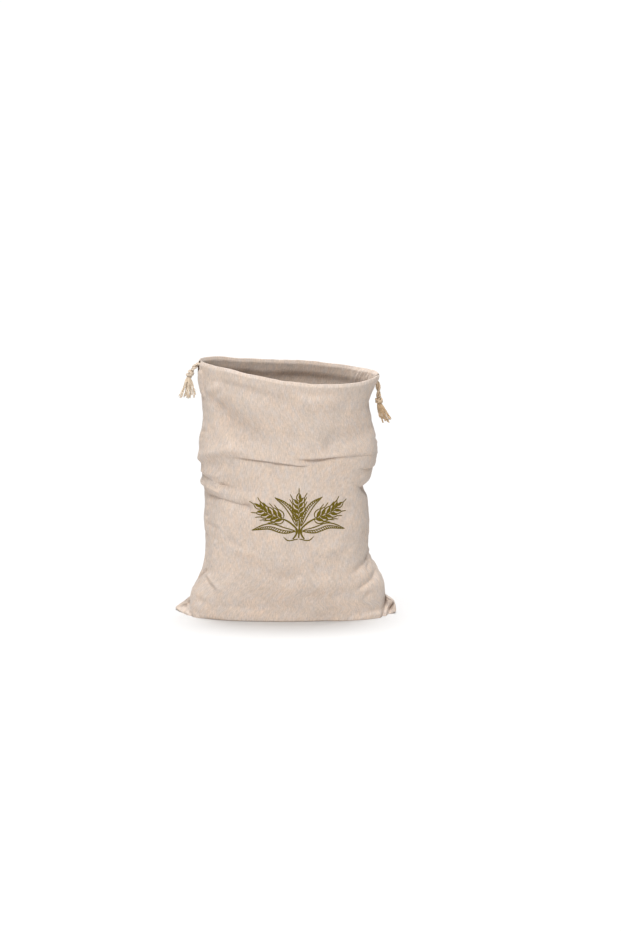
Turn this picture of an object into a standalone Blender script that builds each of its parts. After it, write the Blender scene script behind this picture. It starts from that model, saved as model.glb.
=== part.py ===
"""Drawstring bread bag of plain linen, standing open and filled out.

Two equal panels are sewn together down both sides and along the bottom. Each
panel ends at the top in a folded hem casing. Two cords run through both
casings; one has its ends knotted at the left, the other at the right, and
below each knot the cord is frayed into a tassel.

Lengths in the tables are in millimetres, +Z is up, the front faces -Y and the
origin is on the surface the bag stands on, under its middle.
"""

import math

import bpy
import numpy as np
from mathutils import Matrix, Vector

for old in list(bpy.data.objects):
    bpy.data.objects.remove(old, do_unlink=True)

MM = 0.001

# ---------------------------------------------------------------- driving sizes

CLOTH = 1.4            # thickness of one layer of the linen
SEAM_GAP = 0.3         # between the two panels where they are sewn together
CASING = 40.0          # height of the hem casing, rim to stitch line
CASING_ROOM = 5.2      # space between the casing's layers where the cords run
CASING_SHUT = 0.4      # space between the layers at the stitch line
CORD = 3.2             # diameter of the cord
CORD_DEPTHS = (5.6, 10.2)  # below the rim: the left cord, the right cord
PAIR_APART = 3.5       # between the two ends of a cord where they hang together
PAIR_TURNS = {"left": 1.0, "right": 1.6}  # half turns that the two ends make round each other
PAIR_START = {"left": (4.5, 1.5), "right": (4.0, -1.5)}  # out of the slit, and up, from the casing
GIRTH_RADIUS = 92.0    # turns an angle round the bag into a distance round it
EVEN = 0.03            # share of plain distance in the angle round the bag

COLUMNS = 28           # facets across a panel
WALL_ROWS = 18         # facets up the wall, between the foot and the casing

# One row per level of the standing bag. left and right are the side edges seen
# from the front, front and back are the depths from the middle plane, power is
# the squareness of the plan (2 is an ellipse), and the seams are given as
# angles round the bag: -90 is the left side, 0 the front, 90 the right side.
SECTION_COLUMNS = ("z", "left", "right", "front", "back", "power", "seam_l", "seam_r")
SECTIONS = (
    (0.0, -124.0, 126.5, 43.5, 48.5, 3.1, -90.0, 90.0),
    (2.5, -127.0, 129.5, 44.6, 50.4, 3.1, -90.0, 90.0),
    (8.0, -128.5, 131.0, 45.6, 52.2, 3.0, -90.0, 90.0),
    (18.0, -127.0, 132.0, 47.4, 54.5, 2.9, -90.0, 90.0),
    (31.0, -124.5, 131.5, 50.2, 57.0, 2.8, -90.0, 90.0),
    (45.0, -118.0, 129.0, 53.4, 59.0, 2.7, -86.0, 91.0),
    (60.0, -111.5, 120.5, 57.0, 61.0, 2.6, -81.0, 92.0),
    (76.0, -108.0, 112.0, 60.8, 62.5, 2.5, -78.0, 93.0),
    (102.0, -106.5, 109.0, 65.6, 64.5, 2.4, -77.0, 94.0),
    (128.0, -108.5, 110.5, 68.5, 66.0, 2.4, -77.0, 95.0),
    (152.0, -107.0, 108.5, 69.0, 66.5, 2.4, -76.0, 95.0),
    (178.0, -110.0, 110.5, 68.5, 66.5, 2.4, -76.0, 95.0),
    (198.0, -111.0, 115.0, 68.0, 66.0, 2.4, -75.0, 95.0),
    (215.0, -112.5, 120.5, 67.5, 65.5, 2.4, -74.5, 95.0),
    (236.0, -113.5, 119.5, 67.0, 65.0, 2.4, -74.5, 94.0),
    (262.0, -109.5, 113.5, 66.5, 65.0, 2.35, -75.5, 92.0),
    (287.0, -110.0, 109.0, 66.0, 64.5, 2.3, -77.5, 90.0),
    (300.0, -111.0, 113.0, 65.5, 64.0, 2.25, -79.0, 89.0),
    (318.0, -114.5, 123.2, 64.0, 63.0, 2.2, -80.5, 88.0),
    (345.0, -115.5, 129.0, 62.0, 61.0, 2.2, -81.5, 88.0),
)

# The two bottom corners stand out as flat ears: how far they reach at each level.
EAR_COLUMNS = ("z", "left", "right")
EARS = (
    (0.0, -144.0, 144.5),
    (1.7, -148.4, 146.6),
    (4.0, -147.2, 147.0),
    (6.5, -144.6, 146.8),
    (9.0, -141.8, 146.5),
    (11.5, -139.0, 146.2),
    (15.5, -133.8, 145.0),
    (17.5, -131.3, 143.6),
    (19.5, -129.5, 141.8),
    (21.2, -128.0, 138.6),
    (22.5, -127.0, 132.0),
)
EAR_SWING = {"left": 15.0, "right": -4.0}  # how far the tip swings back (+) or forward (-)
EAR_ROOT = 122.0       # where the swing starts, from the middle
EAR_HALF = 4.2         # half the thickness of an ear
EAR_CLOTH = 1.0        # the cloth is pressed thinner at the tip of an ear
EAR_BLEND = 2.4        # how softly the ear runs into the body

# The front panel's lower edge on the surface: how far it stands out from the middle
# plane, and how far up the wall stays out with it. It runs on to the tip of each ear
# as a low lip.
FOOT_COLUMNS = ("x", "depth", "high")
FOOT_LINE = (
    (-150.0, 0.0, 3.8),
    (-147.0, 3.0, 3.8),
    (-144.0, 8.0, 4.0),
    (-137.0, 13.5, 5.0),
    (-131.0, 20.0, 8.0),
    (-125.0, 25.5, 13.0),
    (-117.0, 29.5, 18.0),
    (-104.0, 33.5, 20.0),
    (-77.0, 38.0, 12.0),
    (-37.0, 40.0, 8.0),
    (0.0, 40.0, 8.0),
    (37.0, 40.0, 8.0),
    (72.0, 40.5, 10.0),
    (85.0, 41.5, 14.0),
    (98.6, 40.5, 18.0),
    (112.0, 36.5, 20.0),
    (125.0, 30.0, 16.0),
    (130.6, 21.5, 12.0),
    (137.0, 8.0, 6.0),
    (143.0, 4.6, 4.0),
    (148.0, 0.0, 4.0),
)

# Height of the rim round the mouth, by the angle round the bag.
RIM_COLUMNS = ("turn", "height")
RIM = (
    (-90.0, 342.0),
    (-70.0, 342.0),
    (-55.0, 340.0),
    (-40.0, 338.0),
    (-26.0, 333.5),
    (-12.0, 328.3),
    (0.0, 323.8),
    (14.0, 320.2),
    (32.0, 318.6),
    (60.0, 319.6),
    (88.0, 322.0),
    (112.0, 323.0),
    (140.0, 325.5),
    (172.0, 330.5),
    (205.0, 334.0),
    (235.0, 340.0),
    (270.0, 342.0),
)

# The casings stop short at each side: where that slit starts, how wide it gets.
SLIT_COLUMNS = ("side", "bottom", "width")
SLITS = (
    ("left", 297.0, 10.5),
    ("right", 291.0, 10.5),
)
SLIT_OPENS = 34.0      # height over which the slit reaches its width

# Folds of the cloth, each along a curve through three places, given by the
# angle round the bag and the height. depth is how far the trough goes in
# (negative: a ridge), width its half width, over how much the cloth above
# hangs over the trough, and fade the share of its length over which each end
# runs out.
FOLD_COLUMNS = ("a0", "z0", "a1", "z1", "a2", "z2", "depth", "width", "over", "fade")
FOLDS = (
    # the slump across the front, in two troughs that pass each other
    (-80.0, 209.0, -30.0, 211.0, 8.0, 200.0, 4.5, 8.0, 0.6, 0.25),
    (-4.0, 205.0, 30.0, 211.0, 78.0, 213.0, 4.5, 8.0, 0.6, 0.25),
    # the cloth that is pushed up on the left side
    (-118.0, 206.0, -85.0, 205.0, -62.0, 200.0, 4.0, 6.5, 0.3, 0.30),
    (-112.0, 190.0, -82.0, 190.0, -48.0, 172.0, 4.5, 7.0, 0.2, 0.30),
    (-84.0, 182.0, -55.0, 166.0, -24.0, 148.0, 4.0, 8.0, 0.3, 0.30),
    # the hollow that falls from the left end of the rim
    (-62.0, 300.0, -38.0, 262.0, -2.0, 222.0, 4.0, 15.0, 0.0, 0.35),
    # the pinch at the right side
    (48.0, 178.0, 88.0, 170.0, 132.0, 174.0, 8.0, 8.0, 0.1, 0.35),
    # folds above the two bottom corners
    (96.0, 80.0, 62.0, 66.0, 42.0, 48.0, 4.0, 7.0, 0.2, 0.35),
    (82.0, 52.0, 60.0, 42.0, 46.0, 26.0, 3.0, 6.0, 0.2, 0.35),
    (-88.0, 58.0, -66.0, 48.0, -46.0, 24.0, 3.0, 7.0, 0.2, 0.35),
    # the back, slumped in the same way
    (112.0, 214.0, 150.0, 204.0, 196.0, 209.0, 5.0, 9.0, 0.5, 0.30),
    (178.0, 200.0, 215.0, 206.0, 250.0, 212.0, 4.5, 8.0, 0.5, 0.30),
    (120.0, 150.0, 160.0, 138.0, 205.0, 142.0, 3.5, 10.0, 0.2, 0.35),
    (240.0, 270.0, 205.0, 248.0, 165.0, 240.0, 3.5, 13.0, 0.0, 0.35),
    (256.0, 74.0, 232.0, 54.0, 214.0, 34.0, 3.5, 8.0, 0.2, 0.35),
    (104.0, 70.0, 128.0, 54.0, 146.0, 30.0, 3.5, 8.0, 0.2, 0.35),
    # the gathers of the back casing by the right slit
    (104.0, 322.0, 105.0, 306.0, 108.0, 288.0, 2.0, 6.0, 0.0, 0.40),
    (122.0, 324.0, 122.0, 308.0, 120.0, 292.0, 1.6, 6.0, 0.0, 0.40),
)

# Where the knots and the tassels hang: top and bottom of each, and the radii
# across (in the plane of the front) and through.
KNOT_COLUMNS = ("side", "x", "y", "z", "lean", "across", "through", "half_height")
KNOTS = (
    ("left", -124.6, -15.0, 325.3, 30.0, 5.0, 4.8, 5.4),
    ("right", 122.6, 1.0, 287.0, -4.0, 5.6, 5.0, 4.4),
)
TASSEL_COLUMNS = ("side", "dx_top", "dz_top", "dx_end", "dz_end", "top", "end", "through")
TASSELS = (
    ("left", 2.4, -6.6, -4.8, -32.4, 2.7, 10.2, 6.0),
    ("right", 0.9, -5.0, 9.5, -27.0, 3.0, 6.4, 4.6),
)

MIDDLE = (-0.43, -1.29)  # of the two panels' box in the tables' own x and y: it goes to the origin

LINEN = (0.61, 0.52, 0.44)
CORD_COLOUR = (0.60, 0.47, 0.33)
TASSEL_COLOUR = (0.66, 0.54, 0.40)


# ---------------------------------------------------------------- plain helpers

def column(table, names, name):
    return np.array([row[names.index(name)] for row in table], float)


def through(x, xs, ys):
    """A smooth curve through the points (xs, ys), read at x."""
    x = np.clip(np.asarray(x, float), xs[0], xs[-1])
    slope = np.gradient(ys, xs)
    k = np.clip(np.searchsorted(xs, x, side="right") - 1, 0, len(xs) - 2)
    h = xs[k + 1] - xs[k]
    t = (x - xs[k]) / h
    return (
        (2 * t**3 - 3 * t**2 + 1) * ys[k]
        + (t**3 - 2 * t**2 + t) * h * slope[k]
        + (3 * t**2 - 2 * t**3) * ys[k + 1]
        + (t**3 - t**2) * h * slope[k + 1]
    )


def ease(t):
    t = np.clip(t, 0.0, 1.0)
    return t * t * (3 - 2 * t)


def at_level(z, name):
    return through(z, column(SECTIONS, SECTION_COLUMNS, "z"), column(SECTIONS, SECTION_COLUMNS, name))


def rim_height(turn):
    return through(turn, column(RIM, RIM_COLUMNS, "turn"), column(RIM, RIM_COLUMNS, "height"))


# ---------------------------------------------------------------- the bag's form

def half_plan(z, depth_name):
    """Half of the plan at one level: x, depth from the middle plane and the angle, from the left tip to the right."""
    left, right = float(at_level(z, "left")), float(at_level(z, "right"))
    depth, power = float(at_level(z, depth_name)), float(at_level(z, "power"))
    mid, half = (left + right) / 2, (right - left) / 2
    ear_z = column(EARS, EAR_COLUMNS, "z")
    tip_l, tip_r = left, right
    if z < ear_z[-1]:
        tip_l = min(left, float(np.interp(z, ear_z, column(EARS, EAR_COLUMNS, "left"))))
        tip_r = max(right, float(np.interp(z, ear_z, column(EARS, EAR_COLUMNS, "right"))))
    turn = np.linspace(-math.pi / 2, math.pi / 2, 321)
    body_x = mid + half * np.sign(np.sin(turn)) * np.abs(np.sin(turn)) ** (2 / power)
    ease_in = 1 - np.cos(np.linspace(0, math.pi / 2, 41))
    x = np.unique(np.concatenate([body_x, tip_l + (left + 14 - tip_l) * ease_in, tip_r - (tip_r - right + 14) * ease_in]))
    share = np.clip(np.abs(x - mid) / half, 0, 1)
    body = depth * (1 - share**power) ** (1 / power)
    inset = np.minimum(x - tip_l, tip_r - x)
    nose = np.sqrt(np.clip(1 - (1 - np.clip(inset / EAR_HALF, 0, 1)) ** 2, 0, 1))
    keep = max(ease((max(left - tip_l, tip_r - right)) / 3.0), 0.0)
    ear = EAR_HALF * nose * keep
    y = (body**EAR_BLEND + ear**EAR_BLEND) ** (1 / EAR_BLEND)
    if depth_name == "front" and z < 45:
        foot_x = column(FOOT_LINE, FOOT_COLUMNS, "x")
        high = np.interp(x, foot_x, column(FOOT_LINE, FOOT_COLUMNS, "high"))
        lip = np.interp(x, foot_x, column(FOOT_LINE, FOOT_COLUMNS, "depth")) * np.exp(-((z / high) ** 3))
        y = y + np.clip(inset / 5, 0, 1) * (np.logaddexp(y, lip) - y)
    y[0] = y[-1] = 0.0
    angle = np.degrees(np.arcsin(np.sign(x - mid) * share ** (power / 2)))
    run = np.concatenate([[0], np.cumsum(np.hypot(np.diff(x), np.diff(y)))])
    # a little of the distance round is mixed in, so that the angle still grows along an ear
    angle = (1 - EVEN) * angle + EVEN * (180 * run / run[-1] - 90)
    return x, y, angle


def plan(z):
    """The whole plan at one level, starting at the left tip and running by the front and the right tip round the back."""
    fx, fy, fa = half_plan(z, "front")
    bx, by, ba = half_plan(z, "back")
    x = np.concatenate([fx, bx[::-1][1:]])
    y = np.concatenate([-fy, by[::-1][1:]])
    angle = np.concatenate([fa, 180 - ba[::-1][1:]])
    run = np.concatenate([[0], np.cumsum(np.hypot(np.diff(x), np.diff(y)))])
    return x, y, angle, run


def slit_half(z, side):
    for name, bottom, width in SLITS:
        if name == side:
            return SEAM_GAP / 2 + (width / 2 - SEAM_GAP / 2) * float(ease((z - bottom) / SLIT_OPENS))


class Wall:
    """The outer surface of one panel's wall: place and angle for any share across and any height."""

    def __init__(self, which):
        self.levels = np.concatenate([np.arange(0, 30, 0.5), np.arange(30, 346, 1.0)])
        self.shares = np.linspace(-0.03, 1.03, 531)
        grid = np.zeros((len(self.levels), len(self.shares), 3))
        self.ends = np.zeros((len(self.levels), 2, 2))
        for k, z in enumerate(self.levels):
            x, y, angle, run = plan(z)
            start = np.interp(float(at_level(z, "seam_l")), angle, run)
            end = np.interp(float(at_level(z, "seam_r")), angle, run)
            if which == "front":
                s0, s1 = start + slit_half(z, "left"), end - slit_half(z, "right")
            else:
                s0, s1 = end + slit_half(z, "right"), run[-1] + start - slit_half(z, "left")
            s = s0 + (s1 - s0) * self.shares
            lap = np.floor(s / run[-1])
            s_in = s - lap * run[-1]
            grid[k, :, 0] = np.interp(s_in, run, x)
            grid[k, :, 1] = np.interp(s_in, run, y)
            grid[k, :, 2] = np.interp(s_in, run, angle) + lap * 360.0
            for e, at in enumerate((s0, s1)):
                ahead, behind = (at + 1.2) % run[-1], (at - 1.2) % run[-1]
                self.ends[k, e] = [np.interp(ahead, run, c) - np.interp(behind, run, c) for c in (x, y)]
        self.grid = grid

    def read(self, share, z):
        """x, y, angle at those shares and heights."""
        share, z = np.broadcast_arrays(np.asarray(share, float), np.asarray(z, float))
        k = np.clip(np.searchsorted(self.levels, z, side="right") - 1, 0, len(self.levels) - 2)
        t = np.clip((z - self.levels[k]) / (self.levels[k + 1] - self.levels[k]), 0, 1)[..., None]
        c = (share - self.shares[0]) / (self.shares[1] - self.shares[0])
        i = np.clip(c.astype(int), 0, len(self.shares) - 2)
        w = (c - i)[..., None]
        low = self.grid[k, i] * (1 - w) + self.grid[k, i + 1] * w
        high = self.grid[k + 1, i] * (1 - w) + self.grid[k + 1, i + 1] * w
        return low * (1 - t) + high * t

    def seam_way(self, end, z):
        """The level direction across a seam at one end of the panel."""
        v = np.array([np.interp(z, self.levels, self.ends[:, end, k]) for k in (0, 1)] + [0.0])
        return v / np.linalg.norm(v)

    def out(self, share, z):
        """The outward normal there."""
        e, d = 0.004, 1.5
        a, b = self.read(share + e, z), self.read(share - e, z)
        zh, zl = np.minimum(np.asarray(z) + d, 344.9), np.maximum(np.asarray(z) - d, 0.0)
        c, f = self.read(share, zh), self.read(share, zl)
        across = np.stack([a[..., 0] - b[..., 0], a[..., 1] - b[..., 1], np.zeros_like(a[..., 0])], -1)
        up = np.stack([c[..., 0] - f[..., 0], c[..., 1] - f[..., 1], np.broadcast_to(zh - zl, c[..., 0].shape)], -1)
        n = np.cross(across, up)
        return n / np.linalg.norm(n, axis=-1, keepdims=True)


def fold_depths(angle, z):
    """How far the folds move the cloth out, for every angle and height."""
    total = np.zeros(np.shape(angle))
    px = np.radians(angle) * GIRTH_RADIUS
    for row in FOLDS:
        f = dict(zip(FOLD_COLUMNS, row))
        t = np.linspace(0, 1, 25)
        ends = np.radians([f["a0"], f["a1"], f["a2"]]) * GIRTH_RADIUS
        qx = ends[0] * (1 - t) * (1 - 2 * t) + ends[1] * 4 * t * (1 - t) + ends[2] * t * (2 * t - 1)
        qz = f["z0"] * (1 - t) * (1 - 2 * t) + f["z1"] * 4 * t * (1 - t) + f["z2"] * t * (2 * t - 1)
        for lap in (-360.0, 0.0, 360.0):
            x = px + math.radians(lap) * GIRTH_RADIUS
            best = np.full(np.shape(x), 1e9)
            side, along = np.zeros(np.shape(x)), np.zeros(np.shape(x))
            for i in range(len(t) - 1):
                dx, dz = qx[i + 1] - qx[i], qz[i + 1] - qz[i]
                w = np.clip(((x - qx[i]) * dx + (z - qz[i]) * dz) / (dx * dx + dz * dz), 0, 1)
                ox, oz = x - qx[i] - w * dx, z - qz[i] - w * dz
                far = np.hypot(ox, oz)
                nearer = far < best
                best = np.where(nearer, far, best)
                side = np.where(nearer, np.sign(oz * abs(dx) - ox * dz * np.sign(dx)), side)
                along = np.where(nearer, t[i] + w * (t[i + 1] - t[i]), along)
            s = best * side / f["width"]
            strength = ease(along / f["fade"]) * ease((1 - along) / f["fade"])
            trough = -np.exp(-(s**2))
            hang = 1.65 * s * np.exp(-0.5 * s**2)
            total += f["depth"] * strength * ((1 - f["over"]) * trough + f["over"] * hang)
    return total


def ear_swing(x, z):
    """How far the two bottom corners swing out of the middle plane."""
    low = 1 - ease((z - 10.0) / 32.0)
    push_l = EAR_SWING["left"] * np.clip((-EAR_ROOT - x) / (148.0 - EAR_ROOT), 0, 1.2) ** 2
    push_r = EAR_SWING["right"] * np.clip((x - EAR_ROOT) / (148.0 - EAR_ROOT), 0, 1.2) ** 2
    return (push_l + push_r) * low


# ---------------------------------------------------------------- panel sheets

def casing_bulge(s):
    """How far the casing's outer layer stands out, s below the rim."""
    return 0.8 * ease(s / 6) * ease((CASING - s) / 22)


def casing_room(s):
    """The space between the casing's two layers, s below the rim."""
    return CASING_SHUT + (CASING_ROOM - CASING_SHUT) * ease((s + 1.5) / 5.0) * ease((25 - s) / 11)


def across_shares(count):
    t = np.linspace(-1, 1, count + 1)
    return 0.5 + 0.5 * (0.55 * t + 0.45 * np.sin(math.pi / 2 * t))


def panel_rows():
    """The rows of a panel from the bottom seam to the end of its hem: kind, and where it is."""
    rows = [("base", w) for w in (0.0, 0.35, 0.70)]
    rows += [("foot", z) for z in (0.0, 2.0, 6.5, 13.0, 20.5)]
    rows += [("wall", w) for w in np.linspace(0, 1, WALL_ROWS + 1)]
    rows += [("outer", s) for s in (29.0, 20.0, 14.0, 9.0, 4.6, 1.8)]
    rows += [("rim", 0.0)]
    rows += [("inner", s) for s in (1.8, 4.6, 9.0, 14.0, 20.0, 29.0, CASING - 1.0)]
    return rows


FOOT_TOP = 30.0


def panel_outer(which, columns, rows):
    """The panel's outer face as a grid of points, row by row."""
    wall = Wall(which)
    share = across_shares(columns)
    grid = []
    sign = -1.0 if which == "front" else 1.0
    foot = wall.read(share, 0.0)
    tip_lift = 1.4 * (1 - ease(np.minimum(share, 1 - share) / 0.03))
    line = share if which == "front" else 1 - share
    seam_x = -145.0 + line * (144.5 + 145.0)
    for kind, at in rows:
        if kind == "base":
            seam = np.stack([seam_x, np.full_like(seam_x, sign * SEAM_GAP / 2), np.zeros_like(seam_x)], -1)
            edge = np.stack([foot[:, 0], foot[:, 1], tip_lift], -1)
            p = seam + (edge - seam) * at
            p[:, 2] = tip_lift * at
        elif kind == "foot":
            level = at + tip_lift * (1 - min(at / 8.0, 1.0))
            r = wall.read(share, level)
            p = np.stack([r[:, 0], r[:, 1], level], -1)
            n = wall.out(share, np.maximum(level, 3.0))
            p = p + n * (fold_depths(r[:, 2], level) * ease(level / 20))[:, None]
        else:
            top = rim_height(wall.read(share, 330.0)[:, 2])
            if kind == "wall":
                z = FOOT_TOP + at * (300.0 - FOOT_TOP) + ease((at - 0.45) / 0.55) * (top - CASING - 300.0)
                off = np.zeros_like(z)
            else:
                z = top - at
                if kind == "outer":
                    off = np.full_like(z, casing_bulge(at))
                elif kind == "rim":
                    off = np.full_like(z, casing_bulge(0.0) - CLOTH - casing_room(0.0) / 2)
                else:
                    off = np.full_like(z, casing_bulge(at) - 2 * CLOTH - casing_room(at))
            r = wall.read(share, z)
            n = wall.out(share, z)
            p = np.stack([r[:, 0], r[:, 1], z], -1)
            p = p + n * (off + fold_depths(r[:, 2], z))[:, None]
        grid.append(p)
    return np.array(grid), wall, share


def grid_normals(grid):
    up = np.gradient(grid, axis=0)
    across = np.gradient(grid, axis=1)
    n = np.cross(across, up)
    return n / np.maximum(np.linalg.norm(n, axis=-1, keepdims=True), 1e-9)


def sheet_mesh(name, outer, inner):
    """A closed sheet between two equal grids."""
    rows, cols = outer.shape[:2]
    points = np.concatenate([outer.reshape(-1, 3), inner.reshape(-1, 3)]) * MM
    count = rows * cols
    faces = []
    for j in range(rows - 1):
        for i in range(cols - 1):
            a, b, c, d = j * cols + i, j * cols + i + 1, (j + 1) * cols + i + 1, (j + 1) * cols + i
            faces += [(a, b, c), (a, c, d)]
            faces += [(a + count, c + count, b + count), (a + count, d + count, c + count)]
    edge = [i for i in range(cols)]
    edge += [j * cols + cols - 1 for j in range(1, rows)]
    edge += [(rows - 1) * cols + i for i in range(cols - 2, -1, -1)]
    edge += [j * cols for j in range(rows - 2, 0, -1)]
    for a, b in zip(edge, edge[1:] + edge[:1]):
        faces += [(a, a + count, b + count), (a, b + count, b)]
    mesh = bpy.data.meshes.new(name)
    mesh.from_pydata([tuple(p) for p in points], [], faces)
    mesh.validate()
    mesh.update()
    return mesh


def material(name, colour, roughness):
    m = bpy.data.materials.new(name)
    m.use_nodes = True
    shader = m.node_tree.nodes["Principled BSDF"]
    shader.inputs["Base Color"].default_value = (*colour, 1.0)
    shader.inputs["Roughness"].default_value = roughness
    shader.inputs["Metallic"].default_value = 0.0
    return m


def place(name, data, mat, parent):
    data.materials.append(mat)
    obj = bpy.data.objects.new(name, data)
    bpy.context.collection.objects.link(obj)
    obj.parent = parent
    return obj


def panel(which, mat, parent):
    outer, wall, share = panel_outer(which, COLUMNS, panel_rows())
    n = grid_normals(outer)
    # the sheet ends square to the seams: along the bottom, and up both sides
    n[0, :, 1] = 0.0
    for col, end in ((0, 0), (-1, 1)):
        for j in range(len(outer)):
            way = wall.seam_way(end, outer[j, col, 2])
            n[j, col] -= way * float(n[j, col] @ way)
    n /= np.maximum(np.linalg.norm(n, axis=-1, keepdims=True), 1e-9)
    from_tip = np.minimum(outer[..., 0] + 148.0, 148.0 - outer[..., 0])
    thick = EAR_CLOTH + (CLOTH - EAR_CLOTH) * np.maximum(ease(from_tip / 30), ease((outer[..., 2] - 20) / 20))
    inner = outer - n * thick[..., None]
    # underneath, the sheet lies flat on the surface
    level = n[4, :, :2] / np.linalg.norm(n[4, :, :2], axis=-1, keepdims=True)
    inner[:3, 1:-1, :2] = outer[:3, 1:-1, :2]
    inner[:4, 1:-1, 2] = outer[:4, 1:-1, 2] + thick[:4, 1:-1]
    inner[3, 1:-1, :2] = outer[3, 1:-1, :2] - level[1:-1] * thick[3, 1:-1, None]
    # and it turns up at the very tip of each ear
    for col in (0, -1):
        inward = -np.sign(outer[0, col, 0])
        for j in range(4):
            inner[j, col] = (outer[j, col, 0] + inward * (0.15 + 0.3 * j), outer[j, col, 1], EAR_CLOTH + 0.3 * j)
    for grid in (outer, inner):
        grid[..., 1] += ear_swing(grid[..., 0], grid[..., 2])
    mesh = sheet_mesh(which + "_panel", outer, inner)
    return place(which + "_panel", mesh, mat, parent), wall


# ---------------------------------------------------------------- cords

def in_casing(wall, shares, depth):
    """Points down the middle of a casing, that far below its rim."""
    z = rim_height(wall.read(shares, 330.0)[:, 2]) - depth
    r, n = wall.read(shares, z), wall.out(shares, z)
    off = casing_bulge(depth) - CLOTH - casing_room(depth) / 2 + fold_depths(r[:, 2], z)
    return np.stack([r[:, 0], r[:, 1], z], -1) + n * off[:, None]


def rounded(points, step):
    """The points again, evenly spaced on a smooth curve through them."""
    p = np.array(points, float)
    along = np.concatenate([[0], np.cumsum(np.linalg.norm(np.diff(p, axis=0), axis=1))])
    fine = np.linspace(0, along[-1], int(along[-1] / 0.25))
    curve = np.stack([through(fine, along, p[:, k]) for k in range(3)], -1)
    run = np.concatenate([[0], np.cumsum(np.linalg.norm(np.diff(curve, axis=0), axis=1))])
    marks = np.linspace(0, run[-1], max(2, int(round(run[-1] / step)) + 1))
    return np.stack([np.interp(marks, run, curve[:, k]) for k in range(3)], -1)


def knot_frame(side):
    k = dict(zip(KNOT_COLUMNS, next(r for r in KNOTS if r[0] == side)))
    lean = math.radians(k["lean"])
    centre = np.array([k["x"], k["y"], k["z"]])
    up = np.array([math.sin(lean), 0.0, math.cos(lean)])
    return k, centre, up


def pair_points(side, gather, spread_way):
    """The two cord ends side by side from a slit down to their knot, the front one and the back one, knot first."""
    k, centre, up = knot_frame(side)
    top = centre + up * (k["half_height"] + 0.5)
    axis = rounded([top, top + up * 3.0, (top + up * 3.0) * 0.45 + gather * 0.55, gather], 2.6)
    front, back = [], []
    for j, p in enumerate(axis):
        t = j / (len(axis) - 1)
        turn = math.pi * PAIR_TURNS[side] * (1 - t)
        across = np.cross(spread_way, up)
        way = math.cos(turn) * spread_way + math.sin(turn) * across / np.linalg.norm(across)
        front.append(p - way * PAIR_APART / 2)
        back.append(p + way * PAIR_APART / 2)
    front[1] = front[0] + up * 2.6
    back[1] = back[0] + up * 2.6
    return front, back


def cord_route(side, front, back):
    """The whole way of one cord: knot, front casing, round the far slit, back casing, and back to the knot."""
    depth = CORD_DEPTHS[0 if side == "left" else 1]
    shares = across_shares(COLUMNS)[1:-1]
    by_front = in_casing(front, shares, depth)
    by_back = in_casing(back, shares, depth)
    far_front, far_back = in_casing(front, np.array([0.997, 0.003]), depth), in_casing(back, np.array([0.003, 0.997]), depth)
    if side == "right":
        by_front, by_back = by_front[::-1], by_back[::-1]
        far_front, far_back = far_front[::-1], far_back[::-1]
    near_front, near_back = far_front[1], far_back[1]
    gap = near_back - near_front
    spread_way = gap * np.array([1, 1, 0]) / np.linalg.norm(gap * np.array([1, 1, 0]))
    outward = np.array([spread_way[1], -spread_way[0], 0.0])
    if outward @ np.array([1.0 if side == "right" else -1.0, 0, 0]) < 0:
        outward = -outward
    dx, dz = PAIR_START[side]
    gather = (near_front + near_back) / 2 + outward * dx + np.array([0, 0, dz])
    a, b = pair_points(side, gather, spread_way)
    turn_out = outward * dx * 0.12 + np.array([0, 0, dz * 0.12])
    step = spread_way * 2.4
    lead = lambda end, way, first: [first * 0.5 + (end + way) * 0.5 + turn_out * 0.6, end + way + turn_out, end]
    to_front = lead(near_front, step, a[-1])
    to_back = lead(near_back, -step, b[-1])
    return a + to_front + list(by_front) + [far_front[0], far_back[0]] + list(by_back) + to_back[::-1] + b[::-1]


def cord(side, front, back, mat, parent):
    route = cord_route(side, front, back)
    curve = bpy.data.curves.new("cord_" + side, "CURVE")
    curve.dimensions = "3D"
    spline = curve.splines.new("POLY")
    spline.points.add(len(route) - 1)
    for point, p in zip(spline.points, route):
        point.co = (*(p * MM), 1.0)
    curve.bevel_depth = CORD / 2 * MM
    curve.bevel_resolution = 2
    curve.use_fill_caps = True
    return place("cord_" + side, curve, mat, parent)


def turned(name, rings, caps=True):
    """A closed skin over rings of points, each ring given by its points in order."""
    points, faces, n = [], [], len(rings[0])
    for ring in rings:
        points += [tuple(p * MM) for p in ring]
    for j in range(len(rings) - 1):
        for i in range(n):
            a, b = j * n + i, j * n + (i + 1) % n
            faces.append((a, b, b + n, a + n))
    faces.append(tuple(reversed(range(n))))
    faces.append(tuple(range((len(rings) - 1) * n, len(rings) * n)))
    mesh = bpy.data.meshes.new(name)
    mesh.from_pydata(points, [], faces)
    mesh.validate()
    mesh.update()
    return mesh


def knot(side, mat, parent):
    """An overhand knot drawn tight: a lumpy bead with a flat top and bottom where the cords meet it."""
    k, centre, up = knot_frame(side)
    right = np.array([up[2], 0.0, -up[0]])
    deep = np.array([0.0, 1.0, 0.0])
    rings = []
    for t in np.linspace(-1, 1, 9):
        high = k["half_height"] * t
        swell = math.sqrt(max(1 - (0.80 * t) ** 2, 0))
        ring = []
        for a in np.linspace(0, 2 * math.pi, 14, endpoint=False):
            lump = 1 + 0.07 * math.cos(2 * a + 3.0 * t)
            ring.append(centre + up * high + right * (k["across"] * swell * lump * math.cos(a)) + deep * (k["through"] * swell * lump * math.sin(a)))
        rings.append(ring)
    return place("knot_" + side, turned("knot_" + side, rings), mat, parent)


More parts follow.
